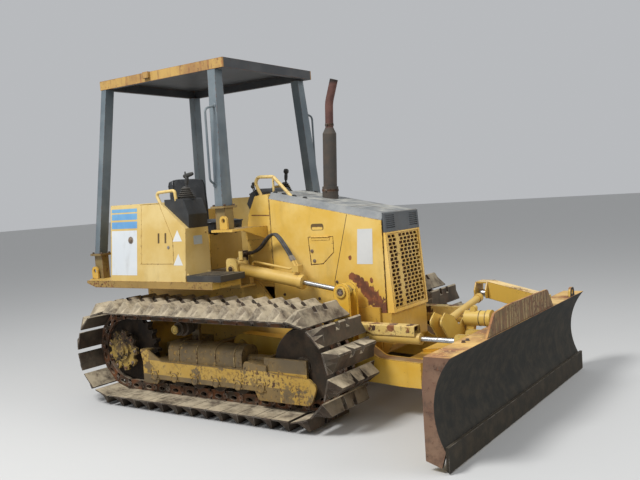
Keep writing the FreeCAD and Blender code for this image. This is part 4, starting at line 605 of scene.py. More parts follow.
def shoe_shape():
    """One shoe as sections across the track of (along, across, outward): the crest drops at the cut
    ends and at the two notches over the chain."""
    stations = [(-SHOE_HALF, 52), (-SHOE_HALF + 58, 135), (-86, 135), (-84, 92), (-44, 92), (-42, 135), (42, 135),
                (44, 92), (84, 92), (86, 135), (SHOE_HALF - 58, 135), (SHOE_HALF, 52)]
    rings = []
    for across, crest in stations:
        shoulder = 104 if crest > 60 else 51
        rings.append([(-REACH, across, 40.8), (REACH, across, 40.8), (REACH, across, 50),
                      (RIDGE_T + 42, across, shoulder), (RIDGE_T + 7, across, crest), (RIDGE_T - 7, across, crest),
                      (-REACH, across, 50)])
    count = len(rings[0])
    faces = ring_faces(len(rings), count)
    faces += [list(range(count))[::-1], [(len(rings) - 1) * count + i for i in range(count)]]
    return np.array(rings, float).reshape(-1, 3), [face[::-1] for face in faces]


def link_shape():
    """Side plate of a link between two pins: round ends, a flat rail edge and an oval window."""
    outer, inner = [], []
    for k in range(20):
        a = 2 * math.pi * (k + 0.5) / 20
        c, s = math.cos(a), math.sin(a)
        reach = 39.5 / max(abs(s), 0.42)
        outer.append((77 * np.sign(c) * abs(c) ** 0.7 + 14 * c, np.clip(reach * s, -39.5, 40.5)))
        inner.append((34 * c, 8 + 17 * s))
    points = []
    for ring in (outer, inner):
        for face in (-15, 15):
            points += [(t, face, n) for t, n in ring]
    faces = []
    for k in range(20):
        j = (k + 1) % 20
        faces += [(k, j, 20 + j, 20 + k), (60 + k, 60 + j, 40 + j, 40 + k), (k, 40 + k, 40 + j, j),
                  (20 + k, 20 + j, 60 + j, 60 + k)]
    return np.array(points, float), [face[::-1] for face in faces]


def laid_on_chain(shape, across, side, chord):
    """Copies of a (along, across, outward) shape on every link of one track."""
    points, faces = shape
    parts = []
    for number in range(LINK_COUNT):
        if chord:
            x0, z0, _ = chain_point(number * LINK_STEP)
            x1, z1, _ = chain_point((number + 1) * LINK_STEP)
            x, z, heading = (x0 + x1) / 2, (z0 + z1) / 2, math.atan2(z1 - z0, x1 - x0)
        else:
            x, z, heading = chain_point((number + 0.5) * LINK_STEP)
        c, s = math.cos(heading), math.sin(heading)
        t, n = points[:, 0], points[:, 2]
        parts.append((np.stack([x + t * c - n * s, side * TRACK_Y + across + points[:, 1], z + t * s + n * c], -1),
                      faces))
    return parts


for name, side in (("right", -1), ("left", 1)):
    shoes = piece("shoes_" + name, laid_on_chain(shoe_shape(), 0, side, False), track_look, "machine",
                  smooth=False)
    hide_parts("track_" + name)
    links = []
    for across in (51, -51):
        links += laid_on_chain(link_shape(), across, side, True)
    piece("links_" + name, links, link_look, "machine", smooth=False)

pin_parts = []
for side in (-1, 1):
    for number in range(LINK_COUNT):
        x, z, _ = chain_point(number * LINK_STEP)
        for face in (66, -66):
            pin_parts.append(turned_shape([(-2, 24), (6, 24), (6, 15), (9, 14)],
                                          (x, side * TRACK_Y + face, z), (0, np.sign(face), 0), 12))
pin_steel = steel("pin_steel", polish=0.9, dusting=0.3)
piece("track_pins", pin_parts, pin_steel, "machine")

# Final drive, rollers and track frame: yellow paint that only shows along the beam's side, on the
# lobed ring and on the caps, under oily mud-coloured dirt; bolt rings and worn shaft caps.
SPRING_BANDS = [520 + (i + 0.6) * 770 / 4 for i in range(4)]
low_yellow = worn_values(paint=(0.44, 0.26, 0.034, 1), faded=(0.48, 0.31, 0.07, 1), edge=1.0, chips=1.0, streaks=0.6,
                         dusting=0.5, dust=(0.25, 0.18, 0.10, 1), rust=(0.10, 0.05, 0.025, 1))
low_dirt = worn_values(paint=(0.11, 0.078, 0.038, 1), faded=(0.21, 0.135, 0.045, 1), edge=0.9, chips=0.9, streaks=0.6,
                       dusting=0.6, dust=(0.20, 0.145, 0.075, 1), rust=(0.36, 0.21, 0.05, 1), dark=(0.05, 0.032, 0.02, 1))
band_yellow = worn_values(paint=(0.42, 0.31, 0.12, 1), faded=(0.30, 0.21, 0.08, 1), edge=0.9, chips=1.2, streaks=0.5,
                          dusting=0.5, dust=(0.24, 0.17, 0.09, 1), rust=(0.10, 0.06, 0.03, 1))


def bands(tree):
    """1 on the raised bands round the spring case."""
    whole = None
    for x in SPRING_BANDS:
        one = between(tree, "X", x - 3, x + 13, 3.0)
        whole = one if whole is None else sum_of(tree, "MAXIMUM", whole, one)
    return whole


low_paint = finished("low_paint", [
    (WEATHERING, low_dirt, None),
    (WEATHERING, low_yellow, lambda tree: all_of(tree, facing_axis(tree, "Y"), between(tree, "Z", 262, 376),
                                                 between(tree, "Y", 930, 1010, both=True),
                                                 broken_up(tree, 7.0, 0.40, 0.46))),
    (WEATHERING, low_yellow, lambda tree: all_of(tree, between(tree, "Y", 900, 1010, both=True),
                                                 between(tree, "X", 225, 330), between(tree, "Z", 360, 470),
                                                 broken_up(tree, 9.0, 0.42, 0.50))),
    (WEATHERING, low_yellow, lambda tree: all_of(tree, between(tree, "Y", 860, 1010, both=True),
                                                 between(tree, "X", 1660, 2000), between(tree, "Z", 150, 372),
                                                 broken_up(tree, 9.0, 0.42, 0.50))),
    (WEATHERING, band_yellow, lambda tree: all_of(tree, between(tree, "Z", 378, 560), bands(tree)))])
hub_yellow = worn_values(paint=(0.34, 0.22, 0.035, 1), faded=(0.42, 0.28, 0.06, 1), edge=1.0, chips=1.4, streaks=0.8,
                         dusting=0.6, dust=(0.13, 0.09, 0.045, 1), rust=(0.09, 0.05, 0.025, 1), dark=(0.035, 0.022, 0.014, 1))
drive_paint = finished("drive_paint", [
    (BARE_STEEL, steel_values(tone=(0.022, 0.017, 0.013, 1), rust=(0.055, 0.036, 0.022, 1), dust=(0.16, 0.11, 0.06, 1),
                              dusting=0.5), None),
    (WEATHERING, hub_yellow, lambda tree: all_of(tree, between(tree, "Y", 896, 1010, both=True),
                                                 broken_up(tree, 16.0, 0.41, 0.50)))])
cover(low_paint, "track_frames")
cover(drive_paint, "sprockets")
roller_look = steel("roller_steel", tone=(0.040, 0.031, 0.022, 1), rust=(0.075, 0.048, 0.03, 1),
                    dust=(0.22, 0.165, 0.10, 1), dusting=0.6, polish=0.5)
cover(roller_look, "rollers")
BEAM_HALF, BEAM_Z1 = 136, 372
ROLLER_PLACES = [385 + 221 * i for i in range(6)]
ROLLER_Z = AXLE_Z - CHAIN_RADIUS + 40.3 + 78
cap_parts, ring_parts = [], []
for side in (-1, 1):
    for x in ROLLER_PLACES:
        for way in (-1, 1):
            face = side * TRACK_Y + way * BEAM_HALF
            cap_parts.append(turned_shape([(-1, 38), (9, 38), (12, 34), (12, 24), (8, 22)],
                                          (x, face, ROLLER_Z), (0, way, 0), 20))
            for turn in range(4):
                a = math.pi / 4 + turn * math.pi / 2
                cap_parts.append(turned_shape([(0, 8), (7, 8), (8, 6)],
                                              (x + 58 * math.cos(a), face, ROLLER_Z + 10 + 44 * math.sin(a)),
                                              (0, way, 0), 6))
    for turn in range(9):
        a = turn * math.pi / 4.5
        ring_parts.append(turned_shape([(0, 13), (10, 13), (12, 10)],
                                       (149 * math.cos(a), side * (TRACK_Y + 118), AXLE_Z + 149 * math.sin(a)),
                                       (0, side, 0), 6))
piece("roller_caps", cap_parts, low_paint, "machine")
piece("hub_bolts", ring_parts, pin_steel, "machine")

# Engine hood: folded sheet panels with a seam near the front, a hatch on a hinge bar, turn locks, a
# grip recess and an exhaust stack; the top and the mask's cap are blue-grey and rubbed, and the mask's
# yellow is a painted highlight, lighter than the hood's.
HOOD_HALF = 286
hood_paint = painted("hood_paint", paint=(0.69, 0.43, 0.072, 1), faded=(0.76, 0.53, 0.155, 1), edge=0.7,
                     chips=0.5, streaks=0.45, dusting=0.25,
                     rust=(0.25, 0.085, 0.035, 1), dark=(0.13, 0.05, 0.026, 1),
                     patch=patches_at(*[((1915 + 250 * s, -286, 992 - 262 * s ** 1.3), (50 + 45 * s, 60, 44 + 70 * s))
                                        for s in (0.0, 0.14, 0.28, 0.42, 0.56, 0.70, 0.84, 1.0)],
                                      ((1902, -286, 1135), (22, 60, 26)), ((2080, -286, 962), (22, 60, 30)),
                                      ((2232, -286, 900), (26, 60, 170))))
cover(hood_paint, "hood_sides", "hood_hatch", "dash_cowl")
GREY = (0.115, 0.128, 0.138, 1)
GREY_FADED = (0.17, 0.18, 0.188, 1)
grey_paint = painted("grey_paint", paint=GREY, faded=GREY_FADED, edge=0.4, chips=0.3, streaks=0.25, dusting=1.3,
                     dust=(0.44, 0.43, 0.38, 1))
cap_paint = painted("cap_paint", paint=(0.078, 0.086, 0.092, 1), faded=(0.115, 0.124, 0.13, 1), edge=0.3, chips=0.2, streaks=0.2, dusting=0.4)
cover(grey_paint, "hood_top")
# The mask's yellow paint is made lighter than the hood's: a painted highlight where light falls on its side.
lit_mask_paint = painted("lit_mask_paint", paint=(0.80, 0.50, 0.10, 1), faded=(0.86, 0.60, 0.20, 1), edge=0.9, chips=0.6,
                     streaks=0.7, dusting=0.2, rust=(0.30, 0.115, 0.04, 1))
cover(lit_mask_paint, "grille_mask")
cover(cap_paint, "mask_cap")
grille_look = painted("grille_paint", paint=(0.66, 0.42, 0.085, 1), faded=(0.72, 0.51, 0.17, 1), edge=0.8, chips=0.7, streaks=0.5, dusting=0.3)
cover(grille_look, "grille_plate")
dark_iron = steel("dark_iron", tone=(0.035, 0.03, 0.026, 1), dusting=0.25, polish=0.1)
cover(dark_iron, "engine_block", "radiator")
stack_look = finished("stack_steel", [
    (BARE_STEEL, steel_values(tone=(0.070, 0.064, 0.056, 1), rust=(0.10, 0.077, 0.06, 1), dust=(0.15, 0.13, 0.105, 1),
                              dusting=0.45, polish=0.1), None),
    (BARE_STEEL, steel_values(tone=(0.105, 0.050, 0.042, 1), rust=(0.165, 0.080, 0.064, 1), dust=(0.17, 0.10, 0.08, 1),
                              dusting=0.2, polish=0.1), lambda tree: between(tree, "Z", 2152, 2700, 30.0)),
    (BARE_STEEL, steel_values(tone=(0.018, 0.016, 0.015, 1), rust=(0.03, 0.022, 0.02, 1), dusting=0.1, polish=0.0),
     lambda tree: between(tree, "Z", 2500, 2700, 40.0))])
cover(stack_look, "exhaust")

# Fenders, floor, tanks and consoles: yellow boxes beside the seat, the right one with a locker door;
# the consoles, seat and dash panel are black plastic, cloth and rubber.
black_plastic = painted("black_plastic", paint=(0.022, 0.023, 0.024, 1), faded=(0.045, 0.047, 0.048, 1), edge=0.1, chips=0.1, streaks=0.1, dusting=0.6, rust=(0.09, 0.08, 0.07, 1), dark=(0.03, 0.03, 0.03, 1), dust=(0.105, 0.112, 0.118, 1), bump=0.15)
tank_paint = painted("tank_paint", paint=(0.58, 0.40, 0.125, 1), faded=(0.65, 0.49, 0.205, 1), edge=0.5, chips=0.3, streaks=0.3, dusting=0.3)
cover(tank_paint, "tank_right", "tank_left", "tank_door")
cover(black_plastic, "consoles", "control_levers", "dash_panel", "seat_cushion", "seat_back")
cover(hull_paint, "seat_base", "rear_panel", "rear_beam")
rail_paint = painted("rail_paint", paint=(0.62, 0.42, 0.12, 1), faded=(0.70, 0.53, 0.22, 1), edge=0.3, chips=0.8,
                     streaks=0.3, dusting=0.2)
cover(rail_paint, "handrails")
fender_paint = finished("fender_paint", [
    (WEATHERING, worn_values(paint=(0.60, 0.38, 0.07, 1), faded=(0.66, 0.45, 0.13, 1), edge=0.8, chips=0.7, streaks=0.6,
                             dusting=0.7, dust=(0.34, 0.25, 0.13, 1)), None),
    (WEATHERING, worn_values(paint=(0.30, 0.19, 0.055, 1), faded=(0.40, 0.25, 0.07, 1), edge=1.0, chips=1.0, streaks=0.8,
                             dusting=0.4, dust=(0.22, 0.15, 0.075, 1)),
     lambda tree: facing_axis(tree, "Y", 0.5, 0.7))])
cover(fender_paint, "fenders")
mat_look = painted("step_mat", paint=(0.035, 0.034, 0.033, 1), faded=(0.07, 0.068, 0.062, 1), edge=0.2, chips=0.2, streaks=0.1, dusting=1.0, rust=(0.10, 0.085, 0.07, 1), dark=(0.03, 0.03, 0.03, 1))
cover(mat_look, "floor_plate", "side_steps")

# Canopy: four blue-grey square posts on bolted feet under a rimmed steel roof, whose side rims are
# yellow with rust running down them, while its front rim and its underside are dark grey.
post_paint = painted("post_paint", paint=(0.105, 0.132, 0.150, 1), faded=(0.160, 0.190, 0.205, 1), edge=0.6,
                     chips=0.45, streaks=0.45, dusting=0.3)
roof_grey = worn_values(paint=(0.040, 0.043, 0.047, 1), faded=(0.066, 0.067, 0.068, 1), edge=0.8, chips=0.6,
                        streaks=0.5, dusting=0.4)
roof_rim = worn_values(paint=(0.46, 0.29, 0.085, 1), faded=(0.28, 0.15, 0.055, 1), edge=1.0, chips=0.8, streaks=1.15,
                       dusting=0.2, rust=(0.30, 0.12, 0.04, 1), dark=(0.13, 0.055, 0.028, 1))
roof_paint = finished("roof_paint", [
    (WEATHERING, roof_grey, None),
    (WEATHERING, roof_rim, lambda tree: all_of(tree, between(tree, "Y", 588, 660, both=True),
                                               facing_axis(tree, "Z", 0.5, 0.4)))])
cover(post_paint, "canopy_posts")
cover(roof_paint, "canopy_roof")
foot_paint = finished("foot_paint", [
    (WEATHERING, worn_values(paint=(0.20, 0.145, 0.055, 1), faded=(0.30, 0.21, 0.08, 1), edge=1.0, chips=0.8,
                             streaks=0.7, dusting=0.4), None)])
cover(foot_paint, "post_feet")

# Push frame and yoke: welded boxes of thick plate round the pivot, with a recessed rusty strip along
# the top of each arm whose bright edges show, and pins held by bolted collars.
ARM_IN, ARM_OUT = 372, 500
frame_yellow = worn_values(paint=(0.70, 0.40, 0.035, 1), faded=(0.74, 0.47, 0.075, 1), edge=0.8, chips=0.6,
                           streaks=0.4, dusting=0.3, patch=patches_at(((2000, -436, 905), (80, 60, 80))))
frame_rust = worn_values(paint=(0.17, 0.075, 0.035, 1), faded=(0.27, 0.15, 0.065, 1), edge=0.3, chips=0.9,
                         streaks=0.2, dusting=0.8, dust=(0.33, 0.23, 0.12, 1), rust=(0.12, 0.05, 0.025, 1))
frame_paint = finished("frame_paint", [
    (WEATHERING, frame_yellow, None),
    (WEATHERING, frame_rust, lambda tree: all_of(tree, facing_axis(tree, "+Z", 0.6, 0.7),
                                                 between(tree, "Y", ARM_IN + 16, ARM_OUT - 16, both=True),
                                                 between(tree, "Z", 380, 520)))])
cover(frame_paint, "push_frame")
yoke_paint = painted("yoke_paint", paint=(0.60, 0.38, 0.06, 1), faded=(0.66, 0.46, 0.11, 1), edge=0.8, chips=0.5,
                     streaks=0.35, dusting=0.35)
cover(yoke_paint, "blade_yoke")

# Cylinders: sprayed barrels with their chromed rods; the angle cylinders run under bolted channels
# of thin plate that are rusted through their paint.
barrel_paint = painted("barrel_paint", paint=(0.58, 0.36, 0.07, 1), faded=(0.64, 0.44, 0.125, 1), edge=0.6,
                       chips=0.45, streaks=0.35, dusting=0.35)
cover(barrel_paint, *("%s_barrel_%s" % (kind, side) for kind in ("lift", "angle") for side in ("right", "left")))
cover(barrel_paint, "tilt_barrel")
bracket_yellow = finished("bracket_yellow", [
    (WEATHERING, worn_values(paint=(0.66, 0.45, 0.12, 1), faded=(0.72, 0.54, 0.20, 1), edge=0.9, chips=0.7, streaks=0.6,
                             dusting=0.4), None),
    (BARE_STEEL, steel_values(tone=(0.03, 0.026, 0.022, 1), rust=(0.09, 0.05, 0.028, 1), dusting=0.2),
     lambda tree: all_of(tree, between(tree, "Z", 1126, 1240), between(tree, "Y", 280, 378, both=True)))])
cover(bracket_yellow, "lift_brackets")
guard_paint = painted("guard_paint", paint=(0.66, 0.45, 0.12, 1), faded=(0.72, 0.54, 0.20, 1), edge=1.0, chips=0.9,
                      streaks=0.9, dusting=0.3, rust=(0.27, 0.10, 0.035, 1),
                      patch=patches_at(((2185, -430, 640), (95, 80, 60)), ((2330, -440, 650), (60, 80, 50)),
                                       ((2470, -430, 640), (60, 80, 60)), ((2210, 430, 640), (90, 80, 60)),
                                       ((2400, 440, 650), (70, 80, 50))))
cover(guard_paint, "angle_guard_right", "angle_guard_left")
chrome = bpy.data.materials.new("chrome")
chrome.use_nodes = True
tree = chrome.node_tree
shader = tree.nodes["Principled BSDF"]
film = step_over(tree, cloud(tree, tree.nodes.new("ShaderNodeTexCoord").outputs["Object"], 26.0, 6.0, 0.7), 0.50, 0.72)
tree.links.new(blend_colours(tree, film, (0.56, 0.57, 0.58, 1), (0.30, 0.26, 0.21, 1)), shader.inputs["Base Color"])
tree.links.new(sum_of(tree, "ADD", 0.26, sum_of(tree, "MULTIPLY", film, 0.35)), shader.inputs["Roughness"])
shader.inputs["Metallic"].default_value = 1.0
cover(chrome, "tilt_rod", *("%s_rod_%s" % (kind, side) for kind in ("lift", "angle") for side in ("right", "left")))

# Blade: a rolled plate whose face is bare dark steel, scuffed in faint upright smears; its back beams
# are yellow, the raised spill plate is streaked with rust, and the end plates have lost their paint.
BLADE_HALF, BLADE_TOP_Z, BLADE_TOP_X, BLADE_EDGE_X = 1332, 672, 3186, 3130
blade_yellow = worn_values(paint=(0.60, 0.38, 0.06, 1), faded=(0.67, 0.47, 0.125, 1), edge=0.9, chips=0.7,
                           streaks=0.6, dusting=0.4)
face_steel = steel_values(tone=(0.022, 0.0225, 0.0195, 1), rust=(0.045, 0.038, 0.028, 1), dust=(0.084, 0.070, 0.049, 1),
                          dusting=0.55, polish=0.3)
end_rust = worn_values(paint=(0.165, 0.080, 0.046, 1), faded=(0.22, 0.125, 0.075, 1), edge=0.5, chips=0.7, streaks=0.5,
                       dusting=0.6, dust=(0.27, 0.185, 0.12, 1), rust=(0.12, 0.05, 0.03, 1))
spill_rust = worn_values(paint=(0.26, 0.18, 0.055, 1), faded=(0.17, 0.105, 0.042, 1), edge=1.0, chips=1.0, streaks=1.5,
                         dusting=0.1, rust=(0.15, 0.055, 0.03, 1), dark=(0.075, 0.035, 0.022, 1))
top_chipped = worn_values(paint=(0.72, 0.43, 0.10, 1), faded=(0.78, 0.53, 0.19, 1), edge=1.2, chips=1.5, streaks=0.2,
                          dusting=0.2, rust=(0.36, 0.15, 0.055, 1), dark=(0.20, 0.085, 0.04, 1))
end_dark = worn_values(paint=(0.085, 0.048, 0.032, 1), faded=(0.13, 0.07, 0.042, 1), edge=0.3, chips=1.0, streaks=0.9,
                       dusting=0.3, dust=(0.20, 0.14, 0.09, 1), rust=(0.20, 0.09, 0.05, 1))
on_end = lambda tree: all_of(tree, between(tree, "Y", BLADE_HALF - 8, BLADE_HALF + 20, both=True),
                             facing_axis(tree, "Y", 0.8, 0.9))
on_face = lambda tree: all_of(tree, facing_axis(tree, "+X", 0.35, 0.45), between(tree, "X", 3000, 3300))
on_spill = lambda tree: all_of(tree, facing_axis(tree, "X", 0.8, 0.9), between(tree, "Z", BLADE_TOP_Z + 1, 900),
                               between(tree, "Y", -790, 600))
blade_look = finished("blade_steel", [
    (WEATHERING, blade_yellow, None),
    (WEATHERING, end_rust, on_end),
    (WEATHERING, end_dark, lambda tree: all_of(tree, on_end(tree), broken_up(tree, 6.0, 0.47, 0.62))),
    (BARE_STEEL, face_steel, on_face),
    (WEATHERING, top_chipped, lambda tree: all_of(tree, facing_axis(tree, "+Z", 0.6, 0.7),
                                                  between(tree, "Z", BLADE_TOP_Z - 8, 900))),
    (WEATHERING, spill_rust, on_spill)])
cover(blade_look, "mouldboard")
bracket_paint = finished("bracket_paint", [
    (WEATHERING, blade_yellow, None),
    (WEATHERING, worn_values(paint=(0.86, 0.61, 0.25, 1), faded=(0.90, 0.70, 0.36, 1), edge=1.0, chips=1.3, streaks=0.6,
                             dusting=0.2, rust=(0.30, 0.13, 0.05, 1)),
     lambda tree: all_of(tree, facing_axis(tree, "+Z", 0.5, 0.6), between(tree, "Z", 735, 880)))])
cover(bracket_paint, "blade_brackets")
edge_look = finished("edge_steel", [
    (BARE_STEEL, steel_values(tone=(0.031, 0.0265, 0.019, 1), rust=(0.055, 0.042, 0.027, 1), dust=(0.105, 0.082, 0.052, 1),
                              dusting=0.5, polish=0.5), None)])
cover(edge_look, "cutting_edge")


# Livery and fittings of the tanks: three blue stripes over a white panel with its lock, the door's
# grip pockets, dark in painted shade, and lock, blank plates, and bolts; paint film lies a hair proud of the slanting
# side.
TANK_LOW_Z, TANK_SIDE, TANK_LEAN = 1008.3, 862.0, 62.0 / 639.7
STRIPES = (
    # rear x, front x, low z, high z
    (-149, 165, 1584, 1613),
    (-149, 165, 1521, 1572),
    (-149, 165, 1448, 1505),
)
WHITE_PANEL = (-149, 163, 1058, 1431)


def on_tank(outline, proud, thick, side=-1):
    """Plate that lies on the slanting side of a tank, pushed outward from its surface."""
    points, faces = slab(outline, 0.0, 1.0, "y")
    base = TANK_SIDE - TANK_LEAN * (points[:, 2] - TANK_LOW_Z)
    points[:, 1] = side * (base + proud + thick * points[:, 1])
    return points, [face[::-1] for face in faces] if side < 0 else faces


def rectangle(x0, x1, z0, z1, corner=0.0):
    if not corner:
        return [(x0, z0), (x1, z0), (x1, z1), (x0, z1)]
    points = []
    for cx, cz, first in ((x1 - corner, z0 + corner, -90), (x1 - corner, z1 - corner, 0),
                          (x0 + corner, z1 - corner, 90), (x0 + corner, z0 + corner, 180)):
        for k in range(4):
            a = math.radians(first + 30 * k)
            points.append((cx + corner * math.cos(a), cz + corner * math.sin(a)))
    return points


blue_film = painted("blue_film", paint=(0.11, 0.29, 0.55, 1), faded=(0.18, 0.38, 0.57, 1), edge=0.2, chips=0.15, streaks=0.3, dusting=0.2)
white_film = painted("white_film", paint=(0.60, 0.63, 0.65, 1), faded=(0.66, 0.68, 0.67, 1), edge=0.2, chips=0.15, streaks=0.35, dusting=0.2)
plate_white = painted("plate_white", paint=(0.66, 0.66, 0.64, 1), faded=(0.60, 0.61, 0.60, 1), edge=0.1, chips=0.1, streaks=0.25, dusting=0.1)
plate_grey = painted("plate_grey", paint=(0.40, 0.45, 0.46, 1), faded=(0.52, 0.56, 0.56, 1), edge=0.1, chips=0.2, streaks=0.2, dusting=0.2)
# Dark brown of the pressed grips: painted shade inside the recesses, which are drawn as flat plates on the surface.
recess_shade = painted("recess_shade", paint=(0.10, 0.062, 0.022, 1), faded=(0.17, 0.11, 0.04, 1), edge=0.1, chips=0.1, streaks=0.3, dusting=0.3)
zinc = steel("zinc_steel", tone=(0.24, 0.23, 0.21, 1), rust=(0.20, 0.13, 0.08, 1), dusting=0.2, polish=0.4)
for name, side in (("right", -1), ("left", 1)):
    piece("tank_stripes_" + name, [on_tank(rectangle(*row), 0.2, 0.4, side) for row in STRIPES],
          blue_film, "machine")
    piece("tank_panel_" + name, [on_tank(rectangle(*WHITE_PANEL), 0.2, 0.4, side)], white_film, "machine")
piece("panel_lock", [turned_shape([(0, 30), (3, 30), (4, 26), (4, 17), (12, 15), (14, 12)],
                                  (88, -829, 1350), (0, -1, 0.1), 20)], zinc, "machine")
# Grip of the door: two upright slots pressed in with a flat bar between them, and its turn lock; the slots are dark
# plates whose colour is painted shade.
grip_slots = [on_tank(rectangle(x, x + 20, 1318, 1400, 4), 0.2, 0.5) for x in (408, 487)]
piece("door_grip", grip_slots, recess_shade, "door")
piece("door_lock", [turned_shape([(0, 13), (4, 13), (6, 9)], (531, -835, 1284), (0, -1, 0.1), 16)],
      zinc, "door")
triangles = [on_tank([(x - 52, z - 46), (x + 52, z - 46), (x, z + 46)], 0.2, 0.6) for x, z in ((630, 1376), (640, 1186))]
piece("tank_signs", triangles, plate_white, "machine")
piece("tank_front_plate", [slab([(-738, 1296), (-640, 1296), (-640, 1366), (-738, 1366)], 720.2, 0.8, "x")],
      plate_grey, "machine")
tank_bolts = []
for side in (-1, 1):
    for y, z in ((-830, 1060), (-590, 1060), (-590, 1390)):
        tank_bolts += bolt((720, side * -y, z), (1, 0, 0), 20, 9, 26)
piece("tank_bolts", tank_bolts, tank_paint, "machine")

# Hood fittings: seams between its panels, the hatch outline, its locks, the pressed grip above it,
# whose dark inside is painted shade, and a blank white sign on the front panel.
def on_hood(outline, proud, thick, side=-1):
    """Plate lying on the upright side of the hood."""
    points, faces = slab(outline, 0.0, 1.0, "y")
    points[:, 1] = side * (HOOD_HALF + proud + thick * points[:, 1])
    return points, [face[::-1] for face in faces] if side < 0 else faces


def strip(start, end, width):
    """Outline of a narrow band from start to end."""
    start, end = np.asarray(start, float), np.asarray(end, float)
    side_way = np.array([-(end - start)[1], (end - start)[0]]) / np.linalg.norm(end - start) * width / 2
    return [start - side_way, end - side_way, end + side_way, start + side_way]


seam_dark = painted("seam_dark", paint=(0.075, 0.045, 0.02, 1), faded=(0.14, 0.085, 0.035, 1), edge=0.1, chips=0.5, streaks=0.2, dusting=0.2)
SEAMS = (((1158, 1612), (1158, 1062)), ((1897, 1468), (1752, 958)), ((1752, 958), (1752, 722)))
hood_seams = [on_hood(strip(a, b, 5), 0.2, 0.4, side) for side in (-1, 1) for a, b in SEAMS]
piece("hood_seams", hood_seams, seam_dark, "machine")
piece("hood_grip", [on_hood(rectangle(1556, 1676, 1352, 1404, 18), 0.2, 0.5)], recess_shade, "machine")
piece("hood_grip_lip", [on_hood(rectangle(1564, 1668, 1356, 1378, 10), 0.8, 1.2)], hood_paint, "machine")
sign = [(1984, 1352), (1963, 1086), (2101, 1086), (2114, 1352)]
piece("hood_sign", [on_hood(sign, 0.3, 0.8)], plate_white, "machine")
piece("hatch_locks", [turned_shape([(0, 14), (5, 14), (7, 10)], (x, -HOOD_HALF, z), (0, -1, 0), 16)
                      for x, z in ((1554, 1190), (1572, 1112))], zinc, "hatch")

# Seat: two foam pads under dark vinyl, blown up a little by the foam and drawn in along piped
# seams, standing on a black steel pan.
VINYL_DARK, VINYL_WORN = (0.020, 0.022, 0.025, 1), (0.060, 0.063, 0.066, 1)
PIPING_R, SEAM_REACH, PUFF_LIMIT = 6.0, 9.0, 24.0

vinyl = bpy.data.materials.new("seat_vinyl")
vinyl.use_nodes = True
tree = vinyl.node_tree
shader = tree.nodes["Principled BSDF"]
where = tree.nodes.new("ShaderNodeTexCoord").outputs["Object"]
scuffs = step_over(tree, cloud(tree, where, 9.0, 6.0, 0.7), 0.46, 0.74)
grain = add_node(tree, "TexVoronoi", {"Vector": where, "Scale": 420.0}).outputs["Distance"]
tree.links.new(blend_colours(tree, scuffs, VINYL_DARK, VINYL_WORN), shader.inputs["Base Color"])
tree.links.new(sum_of(tree, "ADD", 0.42, sum_of(tree, "MULTIPLY", scuffs, 0.25)), shader.inputs["Roughness"])
leather = add_node(tree, "Bump", {"Height": grain, "Strength": 0.25, "Distance": 0.001})
tree.links.new(leather.outputs["Normal"], shader.inputs["Normal"])


def rounded_ring(rear, front, half, corner, z, count=12):
    """Level rounded rectangle: quarter circles of the corner's radius joined by straight runs."""
    rows = []
    for cx, cy, first in ((front - corner, corner - half, -90), (front - corner, half - corner, 0),
                          (rear + corner, half - corner, 90), (rear + corner, corner - half, 180)):
        a = np.radians(first + np.linspace(0, 90, count))
        rows.append(np.stack([cx + corner * np.cos(a), cy + corner * np.sin(a), np.full(count, z)], -1))
    ring = np.concatenate(rows)
    steps = np.linalg.norm(np.diff(np.concatenate([ring, ring[:1]]), axis=0), axis=1)
    along = np.concatenate([[0], np.cumsum(steps)])
    even = np.linspace(0, along[-1], 96, endpoint=False)
    closed = np.concatenate([ring, ring[:1]])
    return np.stack([np.interp(even, along, closed[:, i]) for i in range(3)], -1)


def pad_form(levels):
    """Closed pad from level rings of (z, rear, front, half width, corner)."""
    rings = [rounded_ring(rear, front, half, corner, z) for z, rear, front, half, corner in levels]
    count = len(rings[0])
    faces = ring_faces(len(rings), count)
    faces += [list(range(count))[::-1], [(len(rings) - 1) * count + i for i in range(count)]]
    return np.concatenate(rings), faces


def puffed(made, seam, limit):
    """Skin of a foam pad: the form is remeshed, held along its seam and blown outward by pressure."""
    skin = made.modifiers.new("skin", "REMESH")
    skin.mode = "VOXEL"
    skin.voxel_size = 0.007
    ready = bpy.data.meshes.new_from_object(made.evaluated_get(bpy.context.evaluated_depsgraph_get()))
    made.modifiers.remove(skin)
    made.data = ready
    count = len(ready.vertices)
    start = np.empty(count * 3)
    ready.vertices.foreach_get("co", start)
    start = start.reshape(-1, 3)
    held = made.vertex_groups.new(name="seam")
    near = np.abs(start[:, None, :] - placed(seam)[None, :, :]).max(-1).min(-1) < SEAM_REACH / 1000
    held.add(np.flatnonzero(near).tolist(), 1.0, "REPLACE")
    cloth = made.modifiers.new("foam", "CLOTH")
    cloth.settings.use_pressure = True
    cloth.settings.uniform_pressure_force = 4.0
    cloth.settings.effector_weights.gravity = 0.0
    cloth.settings.vertex_group_mass = "seam"
    cloth.settings.quality = 4
    cloth.point_cache.frame_start, cloth.point_cache.frame_end = 1, 20
    for step in range(1, 21):
        bpy.context.scene.frame_set(step)
    final = np.empty(count * 3)
    blown = made.evaluated_get(bpy.context.evaluated_depsgraph_get()).to_mesh()
    blown.vertices.foreach_get("co", final)
    moved = final.reshape(-1, 3) - start
    size = np.linalg.norm(moved, axis=1)[:, None]
    moved *= np.minimum(1.0, limit / 1000 / np.maximum(size, 1e-9))
    made.modifiers.remove(cloth)
    made.vertex_groups.clear()
    ready.vertices.foreach_set("co", (start + moved).ravel())
    bpy.context.scene.frame_set(1)
    ready.materials.clear()
    ready.materials.append(vinyl)
    ready.polygons.foreach_set("use_smooth", np.full(len(ready.polygons), True))
    rounder = made.modifiers.new("rounder", "SUBSURF")
    rounder.levels = rounder.render_levels = 1


